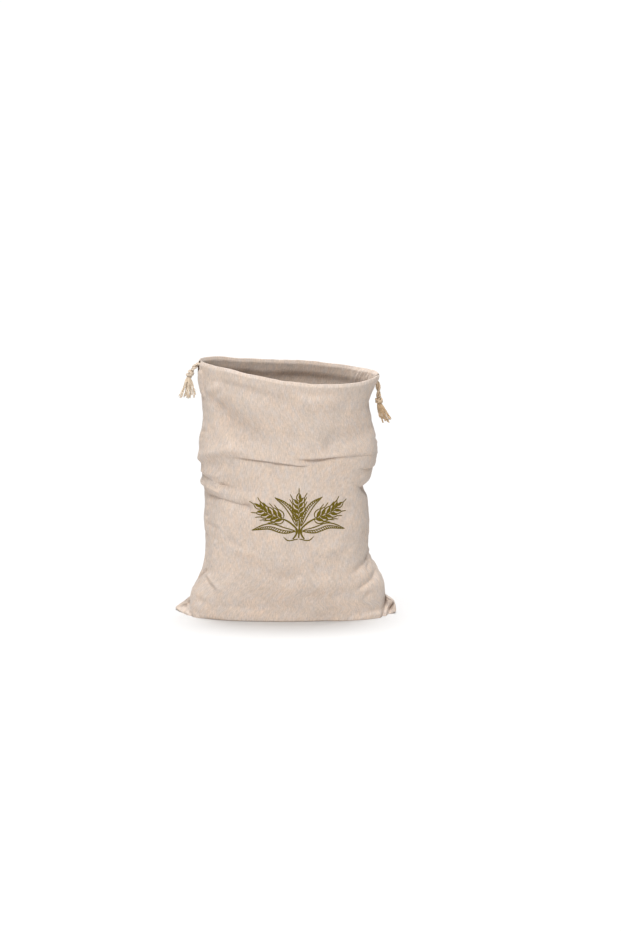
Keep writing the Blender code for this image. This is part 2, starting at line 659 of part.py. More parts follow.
def tassel(side, mat, parent):
    """The frayed cord ends below a knot, as one spreading brush."""
    k, centre, up = knot_frame(side)
    f = dict(zip(TASSEL_COLUMNS, next(r for r in TASSELS if r[0] == side)))
    bottom = centre - up * (k["half_height"] + SEAM_GAP)
    end = np.array([centre[0] + f["dx_end"], centre[1], centre[2] + f["dz_end"]])
    rings = []
    for t in np.linspace(0, 1, 8):
        mid = bottom + (end - bottom) * t + np.array([f["dx_top"] * math.sin(math.pi * t) * 0.5, 0, 0])
        wide = f["top"] + (f["end"] - f["top"]) * t**1.1
        thick = f["top"] + (f["through"] - f["top"]) * t
        ring = []
        for a in np.linspace(0, 2 * math.pi, 14, endpoint=False):
            lock = 1 + 0.08 * t * math.cos(5 * a)
            along = -up * 0.0
            slope = (1 - t) * np.array([up[2], 0, -up[0]]) + t * np.array([1.0, 0, 0])
            slope = slope / np.linalg.norm(slope)
            ring.append(mid + slope * (wide * lock * math.cos(a)) + np.array([0, thick * lock * math.sin(a), 0]))
        rings.append(ring)
    return place("tassel_" + side, turned("tassel_" + side, rings[::-1]), mat, parent)


# ---------------------------------------------------------------- the bag

bag = bpy.data.objects.new("bag", None)
bag.location = (-MIDDLE[0] * MM, -MIDDLE[1] * MM, 0.0)
bpy.context.collection.objects.link(bag)

front_linen = material("linen_front", LINEN, 0.92)
back_linen = material("linen_back", LINEN, 0.92)
front_obj, front_wall = panel("front", front_linen, bag)
back_obj, back_wall = panel("back", back_linen, bag)
for side in ("left", "right"):
    cord(side, front_wall, back_wall, material("cotton_cord_" + side, CORD_COLOUR, 0.9), bag)
    knot(side, material("cotton_knot_" + side, CORD_COLOUR, 0.9), bag)
    tassel(side, material("cotton_tassel_" + side, TASSEL_COLOUR, 0.95), bag)
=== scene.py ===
"""The looks of the linen drawstring bread bag: cloth with its folds, stitching, cords, knots, tassels, print, floor and light."""
import math

import bpy
import numpy as np
from mathutils import Matrix, Vector


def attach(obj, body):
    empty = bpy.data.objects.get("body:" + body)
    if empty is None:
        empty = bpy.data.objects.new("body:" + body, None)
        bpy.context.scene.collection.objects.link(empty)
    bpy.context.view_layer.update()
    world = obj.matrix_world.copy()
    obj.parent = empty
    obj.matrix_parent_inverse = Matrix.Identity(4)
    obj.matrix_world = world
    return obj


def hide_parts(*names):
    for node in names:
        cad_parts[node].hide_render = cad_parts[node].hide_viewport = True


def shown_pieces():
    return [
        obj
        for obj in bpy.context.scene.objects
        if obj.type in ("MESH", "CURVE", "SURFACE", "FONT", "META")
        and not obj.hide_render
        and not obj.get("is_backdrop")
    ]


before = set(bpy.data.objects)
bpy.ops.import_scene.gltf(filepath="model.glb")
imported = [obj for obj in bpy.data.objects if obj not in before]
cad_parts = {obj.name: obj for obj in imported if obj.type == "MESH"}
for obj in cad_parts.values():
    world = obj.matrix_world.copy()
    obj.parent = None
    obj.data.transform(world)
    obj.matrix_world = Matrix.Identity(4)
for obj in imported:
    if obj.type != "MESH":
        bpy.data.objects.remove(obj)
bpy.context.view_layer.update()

MM = 0.001

# ---------------------------------------------------------------- the bag's driving sizes, in millimetres

CLOTH = 0.8            # one layer of the linen
SEAM_GAP = 0.3
CASING = 40.0
CAD_CLOTH, CAD_ROOM, CAD_SHUT = 1.4, 5.2, 0.4
CORD = 3.2
CORD_DEPTHS = (5.6, 10.2)
PAIR_APART = 3.5
PAIR_TURNS = {"left": 1.0, "right": 1.6}
PAIR_START = {"left": (4.5, 1.5), "right": (4.0, -1.5)}
EVEN = 0.03
CAD_COLUMNS = 28
FOOT_TOP = 30.0
SLIT_OPENS = 34.0
CUT_WIDTH = 296.0      # the cut width of a panel between its seams
MIDDLE = (-0.43, -1.29)

SECTION_COLUMNS = ("z", "left", "right", "front", "back", "power", "seam_l", "seam_r")
SECTIONS = (
    (0.0, -124.0, 126.5, 43.5, 48.5, 3.1, -90.0, 90.0),
    (2.5, -127.0, 129.5, 44.6, 50.4, 3.1, -90.0, 90.0),
    (8.0, -128.5, 131.0, 45.6, 52.2, 3.0, -90.0, 90.0),
    (18.0, -127.0, 132.0, 47.4, 54.5, 2.9, -90.0, 90.0),
    (31.0, -124.5, 131.5, 50.2, 57.0, 2.8, -90.0, 90.0),
    (45.0, -118.0, 129.0, 53.4, 59.0, 2.7, -86.0, 91.0),
    (60.0, -111.5, 120.5, 57.0, 61.0, 2.6, -81.0, 92.0),
    (76.0, -108.0, 112.0, 60.8, 62.5, 2.5, -78.0, 93.0),
    (102.0, -106.5, 109.0, 65.6, 64.5, 2.4, -77.0, 94.0),
    (128.0, -108.5, 110.5, 68.5, 66.0, 2.4, -77.0, 95.0),
    (152.0, -107.0, 108.5, 69.0, 66.5, 2.4, -76.0, 95.0),
    (178.0, -110.0, 110.5, 68.5, 66.5, 2.4, -76.0, 95.0),
    (198.0, -111.0, 115.0, 68.0, 66.0, 2.4, -75.0, 95.0),
    (215.0, -112.5, 120.5, 67.5, 65.5, 2.4, -74.5, 95.0),
    (236.0, -113.5, 119.5, 67.0, 65.0, 2.4, -74.5, 94.0),
    (262.0, -109.5, 113.5, 66.5, 65.0, 2.35, -75.5, 92.0),
    (287.0, -110.0, 109.0, 66.0, 64.5, 2.3, -77.5, 90.0),
    (300.0, -111.0, 113.0, 65.5, 64.0, 2.25, -79.0, 89.0),
    (318.0, -114.5, 123.2, 64.0, 63.0, 2.2, -80.5, 88.0),
    (345.0, -115.5, 129.0, 62.0, 61.0, 2.2, -81.5, 88.0),
)
EAR_COLUMNS = ("z", "left", "right")
EARS = (
    (0.0, -144.0, 144.5),
    (1.7, -148.4, 146.6),
    (4.0, -147.2, 147.0),
    (6.5, -144.6, 146.8),
    (9.0, -141.8, 146.5),
    (11.5, -139.0, 146.2),
    (15.5, -133.8, 145.0),
    (17.5, -131.3, 143.6),
    (19.5, -129.5, 141.8),
    (21.2, -128.0, 138.6),
    (22.5, -127.0, 132.0),
)
EAR_SWING = {"left": 15.0, "right": -4.0}
EAR_ROOT = 122.0
EAR_HALF = 3.6
EAR_CLOTH = 0.6
EAR_BLEND = 2.4

# The front panel's lower edge on the surface: how far it stands out from the middle
# plane, and how far up the wall stays out with it. It runs on to the tip of each ear
# as a low lip.
FOOT_COLUMNS = ("x", "depth", "high")
FOOT_LINE = (
    (-150.0, 0.0, 3.8),
    (-147.0, 3.0, 3.8),
    (-144.0, 8.0, 4.0),
    (-137.0, 13.5, 5.0),
    (-131.0, 20.0, 8.0),
    (-125.0, 25.5, 13.0),
    (-117.0, 29.5, 18.0),
    (-104.0, 33.5, 20.0),
    (-77.0, 38.0, 12.0),
    (-37.0, 40.0, 8.0),
    (0.0, 40.0, 8.0),
    (37.0, 40.0, 8.0),
    (72.0, 40.5, 10.0),
    (85.0, 41.5, 14.0),
    (98.6, 40.5, 18.0),
    (112.0, 36.5, 20.0),
    (125.0, 30.0, 16.0),
    (130.6, 21.5, 12.0),
    (137.0, 8.0, 6.0),
    (143.0, 4.6, 4.0),
    (148.0, 0.0, 4.0),
)
RIM_COLUMNS = ("turn", "height")
RIM = (
    (-90.0, 342.0),
    (-70.0, 342.0),
    (-55.0, 340.0),
    (-40.0, 338.0),
    (-26.0, 333.5),
    (-12.0, 328.3),
    (0.0, 323.8),
    (14.0, 320.2),
    (32.0, 318.6),
    (60.0, 319.6),
    (88.0, 322.0),
    (112.0, 323.0),
    (140.0, 325.5),
    (172.0, 330.5),
    (205.0, 334.0),
    (235.0, 340.0),
    (270.0, 342.0),
)
SLITS = (
    ("left", 297.0, 10.5),
    ("right", 291.0, 10.5),
)

# The CAD solids' own folds, which the casings and the cords inside them share.
CAD_FOLD_COLUMNS = ("a0", "z0", "a1", "z1", "a2", "z2", "depth", "width", "over", "fade")
CAD_FOLDS = (
    (-62.0, 300.0, -38.0, 262.0, -2.0, 222.0, 4.0, 15.0, 0.0, 0.35),
    (240.0, 270.0, 205.0, 248.0, 165.0, 240.0, 3.5, 13.0, 0.0, 0.35),
    (104.0, 322.0, 105.0, 306.0, 108.0, 288.0, 2.0, 6.0, 0.0, 0.40),
    (122.0, 324.0, 122.0, 308.0, 120.0, 292.0, 1.6, 6.0, 0.0, 0.40),
)

# Folds of the cloth, along curves through three places given by the angle
# round the bag and the height. depth: how far in or out; up and down: how wide
# above and below the line; lap: from 0, a plain trough, to 1, the cloth above
# standing over the cloth below; drop: how far the upper cloth sags over the
# line; sharp: from 0, round, to 1, a pressed line; start and end: the share of
# the length over which each end runs out.
FOLD_COLUMNS = ("a0", "z0", "a1", "z1", "a2", "z2", "depth", "up", "down", "lap", "drop", "sharp", "start", "end")
FOLDS = (
    # the slump across the front: two laps that pass each other in the middle
    (-44.7, 221.6, -16.8, 222.9, 4.9, 215.1, 3.0, 12.0, 8.0, 0.65, 0.8, 0.0, 0.50, 0.25),
    (-42.6, 222.5, -13.6, 222.7, 12.0, 211.5, 3.6, 4.6, 3.0, 0.85, 3.2, 1.0, 0.50, 0.15),
    (-4.0, 220.0, 32.0, 225.0, 80.0, 219.0, 2.2, 12.0, 8.0, 0.65, 0.6, 0.0, 0.25, 0.30),
    (3.3, 221.4, 17.9, 225.0, 35.9, 224.0, 6.4, 4.8, 4.2, 0.85, 3.0, 1.0, 0.35, 0.45),
    (24.8, 223.3, 42.2, 223.7, 88.2, 218.0, 1.0, 4.5, 3.0, 0.80, 0.9, 0.9, 0.40, 0.60),
    # the shoulder above its left part, and the deep hollow that crosses to it from the left slit
    (-86.0, 208.0, -44.3, 229.6, -13.3, 230.6, -5.4, 9.0, 5.2, 0.0, 0.0, 0.0, 0.12, 0.40),
    (-57.2, 294.1, -31.4, 259.6, -0.3, 233.6, 12.4, 18.0, 12.5, 0.0, 0.0, 0.0, 0.18, 0.40),
    (-66.8, 298.9, -57.2, 292.8, -46.3, 280.1, 4.2, 7.0, 6.0, 0.0, 0.0, 0.0, 0.40, 0.40),
    (-68.7, 299.8, -54.6, 309.5, -44.3, 319.5, -3.6, 6.0, 5.0, 0.0, 0.0, 0.0, 0.35, 0.35),
    (-43.1, 281.8, -42.5, 263.5, -40.9, 245.3, 2.6, 6.0, 6.0, 0.0, 0.0, 0.0, 0.35, 0.35),
    (-4.1, 266.4, 1.3, 250.7, 3.6, 230.9, 3.0, 8.0, 8.0, 0.0, 0.0, 0.0, 0.40, 0.40),
    # the shallow fold that leaves the rim
    (-65.3, 328.0, -17.4, 311.7, 10.3, 282.0, 5.2, 7.5, 12.0, 0.2, 0.0, 0.1, 0.30, 0.40),
    # the soft bulge under the rim's right half, hollow beneath
    (0.6, 301.8, 17.4, 294.8, 47.1, 291.7, -3.0, 14.0, 12.0, 0.0, 0.0, 0.0, 0.40, 0.40),
    (17.2, 237.0, 36.5, 243.2, 83.2, 255.4, 6.0, 17.0, 10.0, 0.0, 0.0, 0.0, 0.35, 0.35),
    # the hollows under the slump
    (-69.0, 206.9, -45.2, 210.2, -24.5, 215.4, 4.4, 8.0, 7.0, 0.0, 0.0, 0.0, 0.30, 0.45),
    (-53.3, 178.2, -32.3, 180.2, -6.7, 175.4, 5.2, 14.0, 8.0, 0.0, 0.0, 0.0, 0.30, 0.40),
    (-5.6, 213.7, -3.9, 195.3, -1.9, 174.2, 2.4, 6.0, 6.0, 0.0, 0.0, 0.0, 0.35, 0.35),
    # cloth pushed up on the left side: three ridges with pockets between, and the long fold they stand on
    (-95.0, 196.0, -61.4, 196.6, -47.9, 193.8, -3.0, 4.4, 2.8, 0.0, 0.0, 0.0, 0.30, 0.25),
    (-95.0, 195.4, -58.6, 187.8, -44.8, 180.4, 2.6, 2.4, 2.4, 0.0, 0.0, 0.5, 0.45, 0.15),
    (-61.8, 189.8, -49.3, 181.6, -40.8, 175.7, -2.9, 2.4, 2.6, 0.0, 0.0, 0.2, 0.30, 0.20),
    (-50.4, 187.4, -43.7, 181.2, -28.9, 182.6, 2.6, 4.2, 2.5, 0.0, 0.0, 0.0, 0.30, 0.50),
    (-95.0, 182.8, -59.1, 177.7, -44.2, 172.5, -3.6, 3.6, 3.4, 0.0, 0.0, 0.0, 0.15, 0.30),
    (-98.0, 168.5, -47.2, 164.7, -19.0, 154.9, 8.0, 9.0, 5.4, 0.25, 1.0, 0.35, 0.40, 0.22),
    (-29.8, 161.9, -24.2, 157.8, -18.7, 153.6, 5.0, 6.0, 3.5, 0.0, 0.0, 0.2, 0.50, 0.30),
    (-71.7, 154.6, -61.1, 149.8, -53.2, 144.8, 1.2, 3.5, 3.5, 0.0, 0.0, 0.3, 0.40, 0.40),
    # small crinkles along the left seam
    (-94.0, 145.0, -78.0, 139.0, -62.0, 141.0, 1.5, 3.0, 3.0, 0.4, 0.4, 0.5, 0.30, 0.60),
    (-90.0, 134.0, -63.1, 126.4, -48.6, 126.1, 2.4, 3.4, 3.0, 0.0, 0.3, 0.4, 0.30, 0.40),
    (-96.0, 110.0, -78.0, 112.0, -58.0, 106.0, 1.6, 3.2, 3.2, 0.4, 0.4, 0.4, 0.30, 0.60),
    (-92.0, 96.0, -76.0, 93.0, -63.0, 95.0, 1.2, 2.8, 2.8, 0.3, 0.3, 0.5, 0.30, 0.60),
    (-94.0, 82.0, -78.0, 78.0, -60.0, 70.0, 1.4, 3.4, 3.4, 0.3, 0.4, 0.4, 0.30, 0.60),
    (-94.0, 252.0, -78.0, 249.0, -64.0, 252.0, 1.2, 3.2, 3.2, 0.3, 0.3, 0.4, 0.30, 0.60),
    (-94.0, 272.0, -78.0, 270.0, -62.0, 264.0, 1.2, 3.6, 3.6, 0.3, 0.3, 0.4, 0.30, 0.60),
    # the rounded lobe of the left side
    (-55.9, 117.2, -60.3, 91.7, -59.4, 64.7, -3.0, 8.0, 8.0, 0.0, 0.0, 0.0, 0.30, 0.30),
    (-40.1, 103.8, -27.2, 96.0, -16.4, 90.1, -2.3, 6.0, 6.0, 0.0, 0.0, 0.0, 0.35, 0.40),
    (-45.7, 117.8, -38.0, 108.2, -30.7, 99.7, 2.3, 6.0, 6.0, 0.0, 0.0, 0.0, 0.40, 0.40),
    # the pinch at the right side: the lobe above it hangs over it
    (50.0, 188.0, 76.0, 174.0, 118.0, 168.5, 12.5, 7.5, 9.0, 0.05, 1.2, 0.4, 0.68, 0.30),
    (50.0, 208.0, 72.0, 203.5, 118.0, 204.0, 3.4, 6.0, 4.0, 0.75, 2.0, 0.5, 0.55, 0.35),
    (60.0, 262.0, 76.0, 256.0, 104.0, 258.0, 1.2, 7.0, 7.0, 0.2, 0.0, 0.1, 0.45, 0.40),
    # over the right bottom corner
    (88.0, 84.0, 58.5, 71.6, 33.2, 58.8, 4.2, 5.5, 4.0, 0.0, 0.6, 0.2, 0.15, 0.50),
    (84.0, 75.0, 69.9, 69.0, 63.3, 62.4, 3.2, 3.0, 3.0, 0.0, 0.0, 0.5, 0.30, 0.30),
    (91.0, 63.5, 54.0, 49.4, 38.6, 38.5, 3.8, 5.0, 4.0, 0.1, 0.4, 0.4, 0.20, 0.35),
    (32.9, 46.9, 25.5, 36.4, 20.2, 25.5, 1.4, 6.0, 6.0, 0.0, 0.0, 0.0, 0.40, 0.40),
    (58.1, 40.2, 49.2, 30.7, 40.1, 20.7, 1.6, 5.0, 5.0, 0.0, 0.0, 0.1, 0.40, 0.40),
    # over the left bottom corner
    (-67.6, 66.2, -76.5, 59.1, -86.3, 46.3, 3.8, 2.4, 2.6, 0.0, 0.0, 0.5, 0.20, 0.30),
    (-70.7, 62.0, -50.7, 48.5, -35.1, 35.5, -2.2, 3.0, 2.2, 0.0, 0.0, 0.3, 0.20, 0.35),
    (-69.9, 56.8, -55.0, 46.3, -43.6, 38.5, 2.6, 2.7, 2.7, 0.0, 0.0, 0.5, 0.30, 0.30),
    (-70.2, 25.7, -55.0, 21.8, -44.3, 17.1, 2.0, 4.0, 4.0, 0.0, 0.0, 0.2, 0.30, 0.40),
    (-41.4, 17.2, -23.5, 17.6, -9.3, 16.8, 1.2, 5.0, 4.0, 0.0, 0.0, 0.0, 0.35, 0.50),
    # soft hollows and swells of the belly
    (-3.2, 51.7, 0.7, 61.5, 12.3, 77.9, 3.0, 10.0, 8.0, 0.0, 0.0, 0.0, 0.40, 0.40),
    (18.1, 92.7, 29.3, 99.9, 44.6, 111.2, -2.6, 10.0, 9.0, 0.0, 0.0, 0.0, 0.40, 0.40),
    (-34.7, 85.5, -13.1, 71.0, -1.2, 46.0, 2.2, 12.0, 10.0, 0.0, 0.0, 0.0, 0.40, 0.40),
    (2.9, 43.2, 16.4, 51.2, 35.2, 64.8, -2.2, 10.0, 10.0, 0.0, 0.0, 0.0, 0.40, 0.40),
    # the back, slumped in the same way
    (108.0, 216.0, 150.0, 206.0, 198.0, 211.0, 3.8, 14.0, 10.0, 0.65, 0.8, 0.0, 0.30, 0.35),
    (120.0, 213.0, 152.0, 205.5, 186.0, 208.5, 2.6, 5.0, 3.6, 0.80, 2.4, 0.9, 0.35, 0.45),
    (176.0, 202.0, 214.0, 208.0, 252.0, 214.0, 3.4, 14.0, 10.0, 0.65, 0.8, 0.0, 0.35, 0.30),
    (182.0, 201.0, 208.0, 206.0, 232.0, 209.5, 2.4, 5.0, 3.6, 0.80, 2.2, 0.9, 0.40, 0.45),
    (120.0, 150.0, 160.0, 138.0, 205.0, 142.0, 3.6, 10.0, 8.0, 0.45, 1.0, 0.2, 0.40, 0.45),
    (214.0, 172.0, 236.0, 178.0, 262.0, 184.0, 3.4, 4.6, 5.4, 0.45, 1.0, 0.5, 0.50, 0.30),
    (222.0, 120.0, 238.0, 112.0, 262.0, 114.0, 2.2, 5.4, 5.4, 0.30, 0.4, 0.3, 0.50, 0.35),
    (256.0, 74.0, 232.0, 54.0, 214.0, 34.0, 3.6, 6.5, 6.5, 0.35, 0.6, 0.3, 0.35, 0.40),
    (104.0, 70.0, 128.0, 54.0, 146.0, 30.0, 3.6, 6.5, 6.5, 0.35, 0.6, 0.3, 0.35, 0.40),
    (150.0, 96.0, 184.0, 84.0, 214.0, 92.0, 2.2, 12.0, 12.0, 0.0, 0.0, 0.0, 0.45, 0.45),
    (150.0, 300.0, 172.0, 276.0, 186.0, 246.0, 2.4, 12.0, 12.0, 0.0, 0.0, 0.0, 0.45, 0.45),
    (112.0, 276.0, 128.0, 262.0, 148.0, 236.0, 2.2, 9.0, 9.0, 0.10, 0.0, 0.0, 0.40, 0.45),
    (98.0, 240.0, 114.0, 236.0, 134.0, 240.0, 2.0, 6.0, 6.0, 0.3, 0.4, 0.2, 0.35, 0.40),
)

# Creases of the two flat corners, along curves in x and z: how deep, how wide.
EAR_FOLD_COLUMNS = ("x0", "z0", "x1", "z1", "x2", "z2", "depth", "width")
EAR_FOLDS = (
    (-131.0, 22.0, -128.0, 12.0, -123.0, 1.0, 2.0, 2.4),
    (-130.6, 17.5, -134.5, 14.6, -137.3, 11.3, 3.6, 1.2),
    (-137.3, 11.3, -134.6, 8.0, -126.5, 3.4, 4.4, 1.3),
    (-143.0, 8.0, -138.0, 7.0, -131.0, 6.0, 1.2, 2.0),
    (134.0, 22.0, 131.5, 12.0, 129.5, 0.0, 1.6, 2.0),
    (143.6, 13.8, 141.0, 9.2, 138.4, 4.4, 1.6, 1.4),
)

KNOT_COLUMNS = ("side", "x", "y", "z", "lean", "across", "through", "half_height")
KNOTS = (
    ("left", -124.6, -15.0, 325.3, 30.0, 5.0, 4.8, 5.4),
    ("right", 122.6, 1.0, 287.0, -4.0, 5.6, 5.0, 4.4),
)
TASSEL_COLUMNS = ("side", "dx_top", "dz_top", "dx_end", "dz_end", "top", "end", "through")
TASSELS = (
    ("left", 2.4, -6.6, -4.8, -32.4, 2.7, 10.2, 6.0),
    ("right", 0.9, -5.0, 9.5, -27.0, 3.0, 6.4, 4.6),
)


# ---------------------------------------------------------------- plain helpers

def column(table, names, name):
    return np.array([row[names.index(name)] for row in table], float)


def through(x, xs, ys):
    """A smooth curve through the points (xs, ys), read at x."""
    x = np.clip(np.asarray(x, float), xs[0], xs[-1])
    slope = np.gradient(ys, xs)
    k = np.clip(np.searchsorted(xs, x, side="right") - 1, 0, len(xs) - 2)
    h = xs[k + 1] - xs[k]
    t = (x - xs[k]) / h
    return (
        (2 * t**3 - 3 * t**2 + 1) * ys[k]
        + (t**3 - 2 * t**2 + t) * h * slope[k]
        + (3 * t**2 - 2 * t**3) * ys[k + 1]
        + (t**3 - t**2) * h * slope[k + 1]
    )


def ease(t):
    t = np.clip(t, 0.0, 1.0)
    return t * t * (3 - 2 * t)


def at_level(z, name):
    return through(z, column(SECTIONS, SECTION_COLUMNS, "z"), column(SECTIONS, SECTION_COLUMNS, name))


def rim_height(turn):
    return through(turn, column(RIM, RIM_COLUMNS, "turn"), column(RIM, RIM_COLUMNS, "height"))


# ---------------------------------------------------------------- the bag's form

def half_plan(z, depth_name):
    """Half of the plan at one level: x, depth from the middle plane and the angle, from the left tip to the right."""
    left, right = float(at_level(z, "left")), float(at_level(z, "right"))
    depth, power = float(at_level(z, depth_name)), float(at_level(z, "power"))
    mid, half = (left + right) / 2, (right - left) / 2
    ear_z = column(EARS, EAR_COLUMNS, "z")
    tip_l, tip_r = left, right
    if z < ear_z[-1]:
        tip_l = min(left, float(np.interp(z, ear_z, column(EARS, EAR_COLUMNS, "left"))))
        tip_r = max(right, float(np.interp(z, ear_z, column(EARS, EAR_COLUMNS, "right"))))
    turn = np.linspace(-math.pi / 2, math.pi / 2, 321)
    body_x = mid + half * np.sign(np.sin(turn)) * np.abs(np.sin(turn)) ** (2 / power)
    ease_in = 1 - np.cos(np.linspace(0, math.pi / 2, 41))
    x = np.unique(np.concatenate([body_x, tip_l + (left + 14 - tip_l) * ease_in, tip_r - (tip_r - right + 14) * ease_in]))
    share = np.clip(np.abs(x - mid) / half, 0, 1)
    body = depth * (1 - share**power) ** (1 / power)
    inset = np.minimum(x - tip_l, tip_r - x)
    nose = np.sqrt(np.clip(1 - (1 - np.clip(inset / EAR_HALF, 0, 1)) ** 2, 0, 1))
    keep = max(ease((max(left - tip_l, tip_r - right)) / 3.0), 0.0)
    ear = EAR_HALF * nose * keep
    y = (body**EAR_BLEND + ear**EAR_BLEND) ** (1 / EAR_BLEND)
    if depth_name == "front" and z < 45:
        foot_x = column(FOOT_LINE, FOOT_COLUMNS, "x")
        high = np.interp(x, foot_x, column(FOOT_LINE, FOOT_COLUMNS, "high"))
        lip = np.interp(x, foot_x, column(FOOT_LINE, FOOT_COLUMNS, "depth")) * np.exp(-((z / high) ** 3))
        y = y + np.clip(inset / 5, 0, 1) * (np.logaddexp(y, lip) - y)
    y[0] = y[-1] = 0.0
    angle = np.degrees(np.arcsin(np.sign(x - mid) * share ** (power / 2)))
    run = np.concatenate([[0], np.cumsum(np.hypot(np.diff(x), np.diff(y)))])
    angle = (1 - EVEN) * angle + EVEN * (180 * run / run[-1] - 90)
    return x, y, angle


def plan(z):
    """The whole plan at one level, from the left tip by the front and the right tip round the back."""
    fx, fy, fa = half_plan(z, "front")
    bx, by, ba = half_plan(z, "back")
    x = np.concatenate([fx, bx[::-1][1:]])
    y = np.concatenate([-fy, by[::-1][1:]])
    angle = np.concatenate([fa, 180 - ba[::-1][1:]])
    run = np.concatenate([[0], np.cumsum(np.hypot(np.diff(x), np.diff(y)))])
    return x, y, angle, run


_, _, ROUND_ANGLE, ROUND_RUN = plan(150.0)
GIRTH = float(ROUND_RUN[-1])
ROUND_ZERO = float(np.interp(0.0, ROUND_ANGLE, ROUND_RUN))


def around(angle):
    """The distance round the bag's belly from the middle of the front, for an angle."""
    lap = np.floor((np.asarray(angle, float) + 90.0) / 360.0)
    return np.interp(angle - 360.0 * lap, ROUND_ANGLE, ROUND_RUN) + lap * GIRTH - ROUND_ZERO


def rim_line(angle):
    """The rim's height with the small waves of its turned edge."""
    run = around(angle)
    wave = 0.24 * np.sin(run / 8.3 + 1.2 * np.sin(run / 31.0)) + 0.15 * np.sin(run / 3.9 + 1.7 * np.sin(run / 23.0) + 1.0)
    return rim_height(angle) + wave


def slit_half(z, side):
    for name, bottom, width in SLITS:
        if name == side:
            return SEAM_GAP / 2 + (width / 2 - SEAM_GAP / 2) * float(ease((z - bottom) / SLIT_OPENS))


class Wall:
    """The outer surface of one panel's wall: place and angle for any share across and any height."""

    def __init__(self, which):
        self.which = which
        self.levels = np.concatenate([np.arange(0, 30, 0.5), np.arange(30, 346, 1.0)])
        self.shares = np.linspace(-0.03, 1.03, 531)
        grid = np.zeros((len(self.levels), len(self.shares), 3))
        self.ends = np.zeros((len(self.levels), 2, 2))
        for k, z in enumerate(self.levels):
            x, y, angle, run = plan(z)
            start = np.interp(float(at_level(z, "seam_l")), angle, run)
            end = np.interp(float(at_level(z, "seam_r")), angle, run)
            if which == "front":
                s0, s1 = start + slit_half(z, "left"), end - slit_half(z, "right")
            else:
                s0, s1 = end + slit_half(z, "right"), run[-1] + start - slit_half(z, "left")
            s = s0 + (s1 - s0) * self.shares
            lap = np.floor(s / run[-1])
            s_in = s - lap * run[-1]
            grid[k, :, 0] = np.interp(s_in, run, x)
            grid[k, :, 1] = np.interp(s_in, run, y)
            grid[k, :, 2] = np.interp(s_in, run, angle) + lap * 360.0
            for e, at in enumerate((s0, s1)):
                ahead, behind = (at + 1.2) % run[-1], (at - 1.2) % run[-1]
                self.ends[k, e] = [np.interp(ahead, run, c) - np.interp(behind, run, c) for c in (x, y)]
        self.grid = grid

    def read(self, share, z):
        """x, y, angle at those shares and heights."""
        share, z = np.broadcast_arrays(np.asarray(share, float), np.asarray(z, float))
        k = np.clip(np.searchsorted(self.levels, z, side="right") - 1, 0, len(self.levels) - 2)
        t = np.clip((z - self.levels[k]) / (self.levels[k + 1] - self.levels[k]), 0, 1)[..., None]
        c = (share - self.shares[0]) / (self.shares[1] - self.shares[0])
        i = np.clip(c.astype(int), 0, len(self.shares) - 2)
        w = (c - i)[..., None]
        low = self.grid[k, i] * (1 - w) + self.grid[k, i + 1] * w
        high = self.grid[k + 1, i] * (1 - w) + self.grid[k + 1, i + 1] * w
        return low * (1 - t) + high * t

    def seam_way(self, end, z):
        v = np.array([np.interp(z, self.levels, self.ends[:, end, k]) for k in (0, 1)] + [0.0])
        return v / np.linalg.norm(v)

    def out(self, share, z):
        """The outward normal there."""
        e, d = 0.004, 1.5
        a, b = self.read(share + e, z), self.read(share - e, z)
        zh, zl = np.minimum(np.asarray(z) + d, 344.9), np.maximum(np.asarray(z) - d, 0.0)
        c, f = self.read(share, zh), self.read(share, zl)
        across = np.stack([a[..., 0] - b[..., 0], a[..., 1] - b[..., 1], np.zeros_like(a[..., 0])], -1)
        up = np.stack([c[..., 0] - f[..., 0], c[..., 1] - f[..., 1], np.broadcast_to(zh - zl, c[..., 0].shape)], -1)
        n = np.cross(across, up)
        return n / np.linalg.norm(n, axis=-1, keepdims=True)


def near_curve(px, pz, curve_x, curve_z):
    """For points: how far from a polyline, on which side (1 is above) and how far along it, 0 to 1."""
    best = np.full(px.shape, 1e9)
    side, along = np.zeros(px.shape), np.zeros(px.shape)
    n = len(curve_x) - 1
    for i in range(n):
        dx, dz = curve_x[i + 1] - curve_x[i], curve_z[i + 1] - curve_z[i]
        w = np.clip(((px - curve_x[i]) * dx + (pz - curve_z[i]) * dz) / (dx * dx + dz * dz), 0, 1)
        ox, oz = px - curve_x[i] - w * dx, pz - curve_z[i] - w * dz
        far = np.hypot(ox, oz)
        nearer = far < best
        best = np.where(nearer, far, best)
        side = np.where(nearer, np.sign(oz * abs(dx) - ox * dz * np.sign(dx)), side)
        along = np.where(nearer, (i + w) / n, along)
    return best, side, along


def quadratic(p0, p1, p2, t):
    return p0 * (1 - t) * (1 - 2 * t) + p1 * 4 * t * (1 - t) + p2 * t * (2 * t - 1)


def cad_folds(angle, z):
    """The folds that the cloth shares with the CAD solids round the casing."""
    total = np.zeros(np.shape(angle))
    px = np.radians(angle) * 92.0
    for row in CAD_FOLDS:
        f = dict(zip(CAD_FOLD_COLUMNS, row))
        t = np.linspace(0, 1, 25)
        ends = np.radians([f["a0"], f["a1"], f["a2"]]) * 92.0
        qx, qz = quadratic(*ends, t), quadratic(f["z0"], f["z1"], f["z2"], t)
        for lap in (-360.0, 0.0, 360.0):
            best, side, along = near_curve(px + math.radians(lap) * 92.0, z, qx, qz)
            s = best * side / f["width"]
            strength = ease(along / f["fade"]) * ease((1 - along) / f["fade"])
            total += f["depth"] * strength * ((1 - f["over"]) * -np.exp(-(s**2)) + f["over"] * 1.65 * s * np.exp(-0.5 * s**2))
    return total


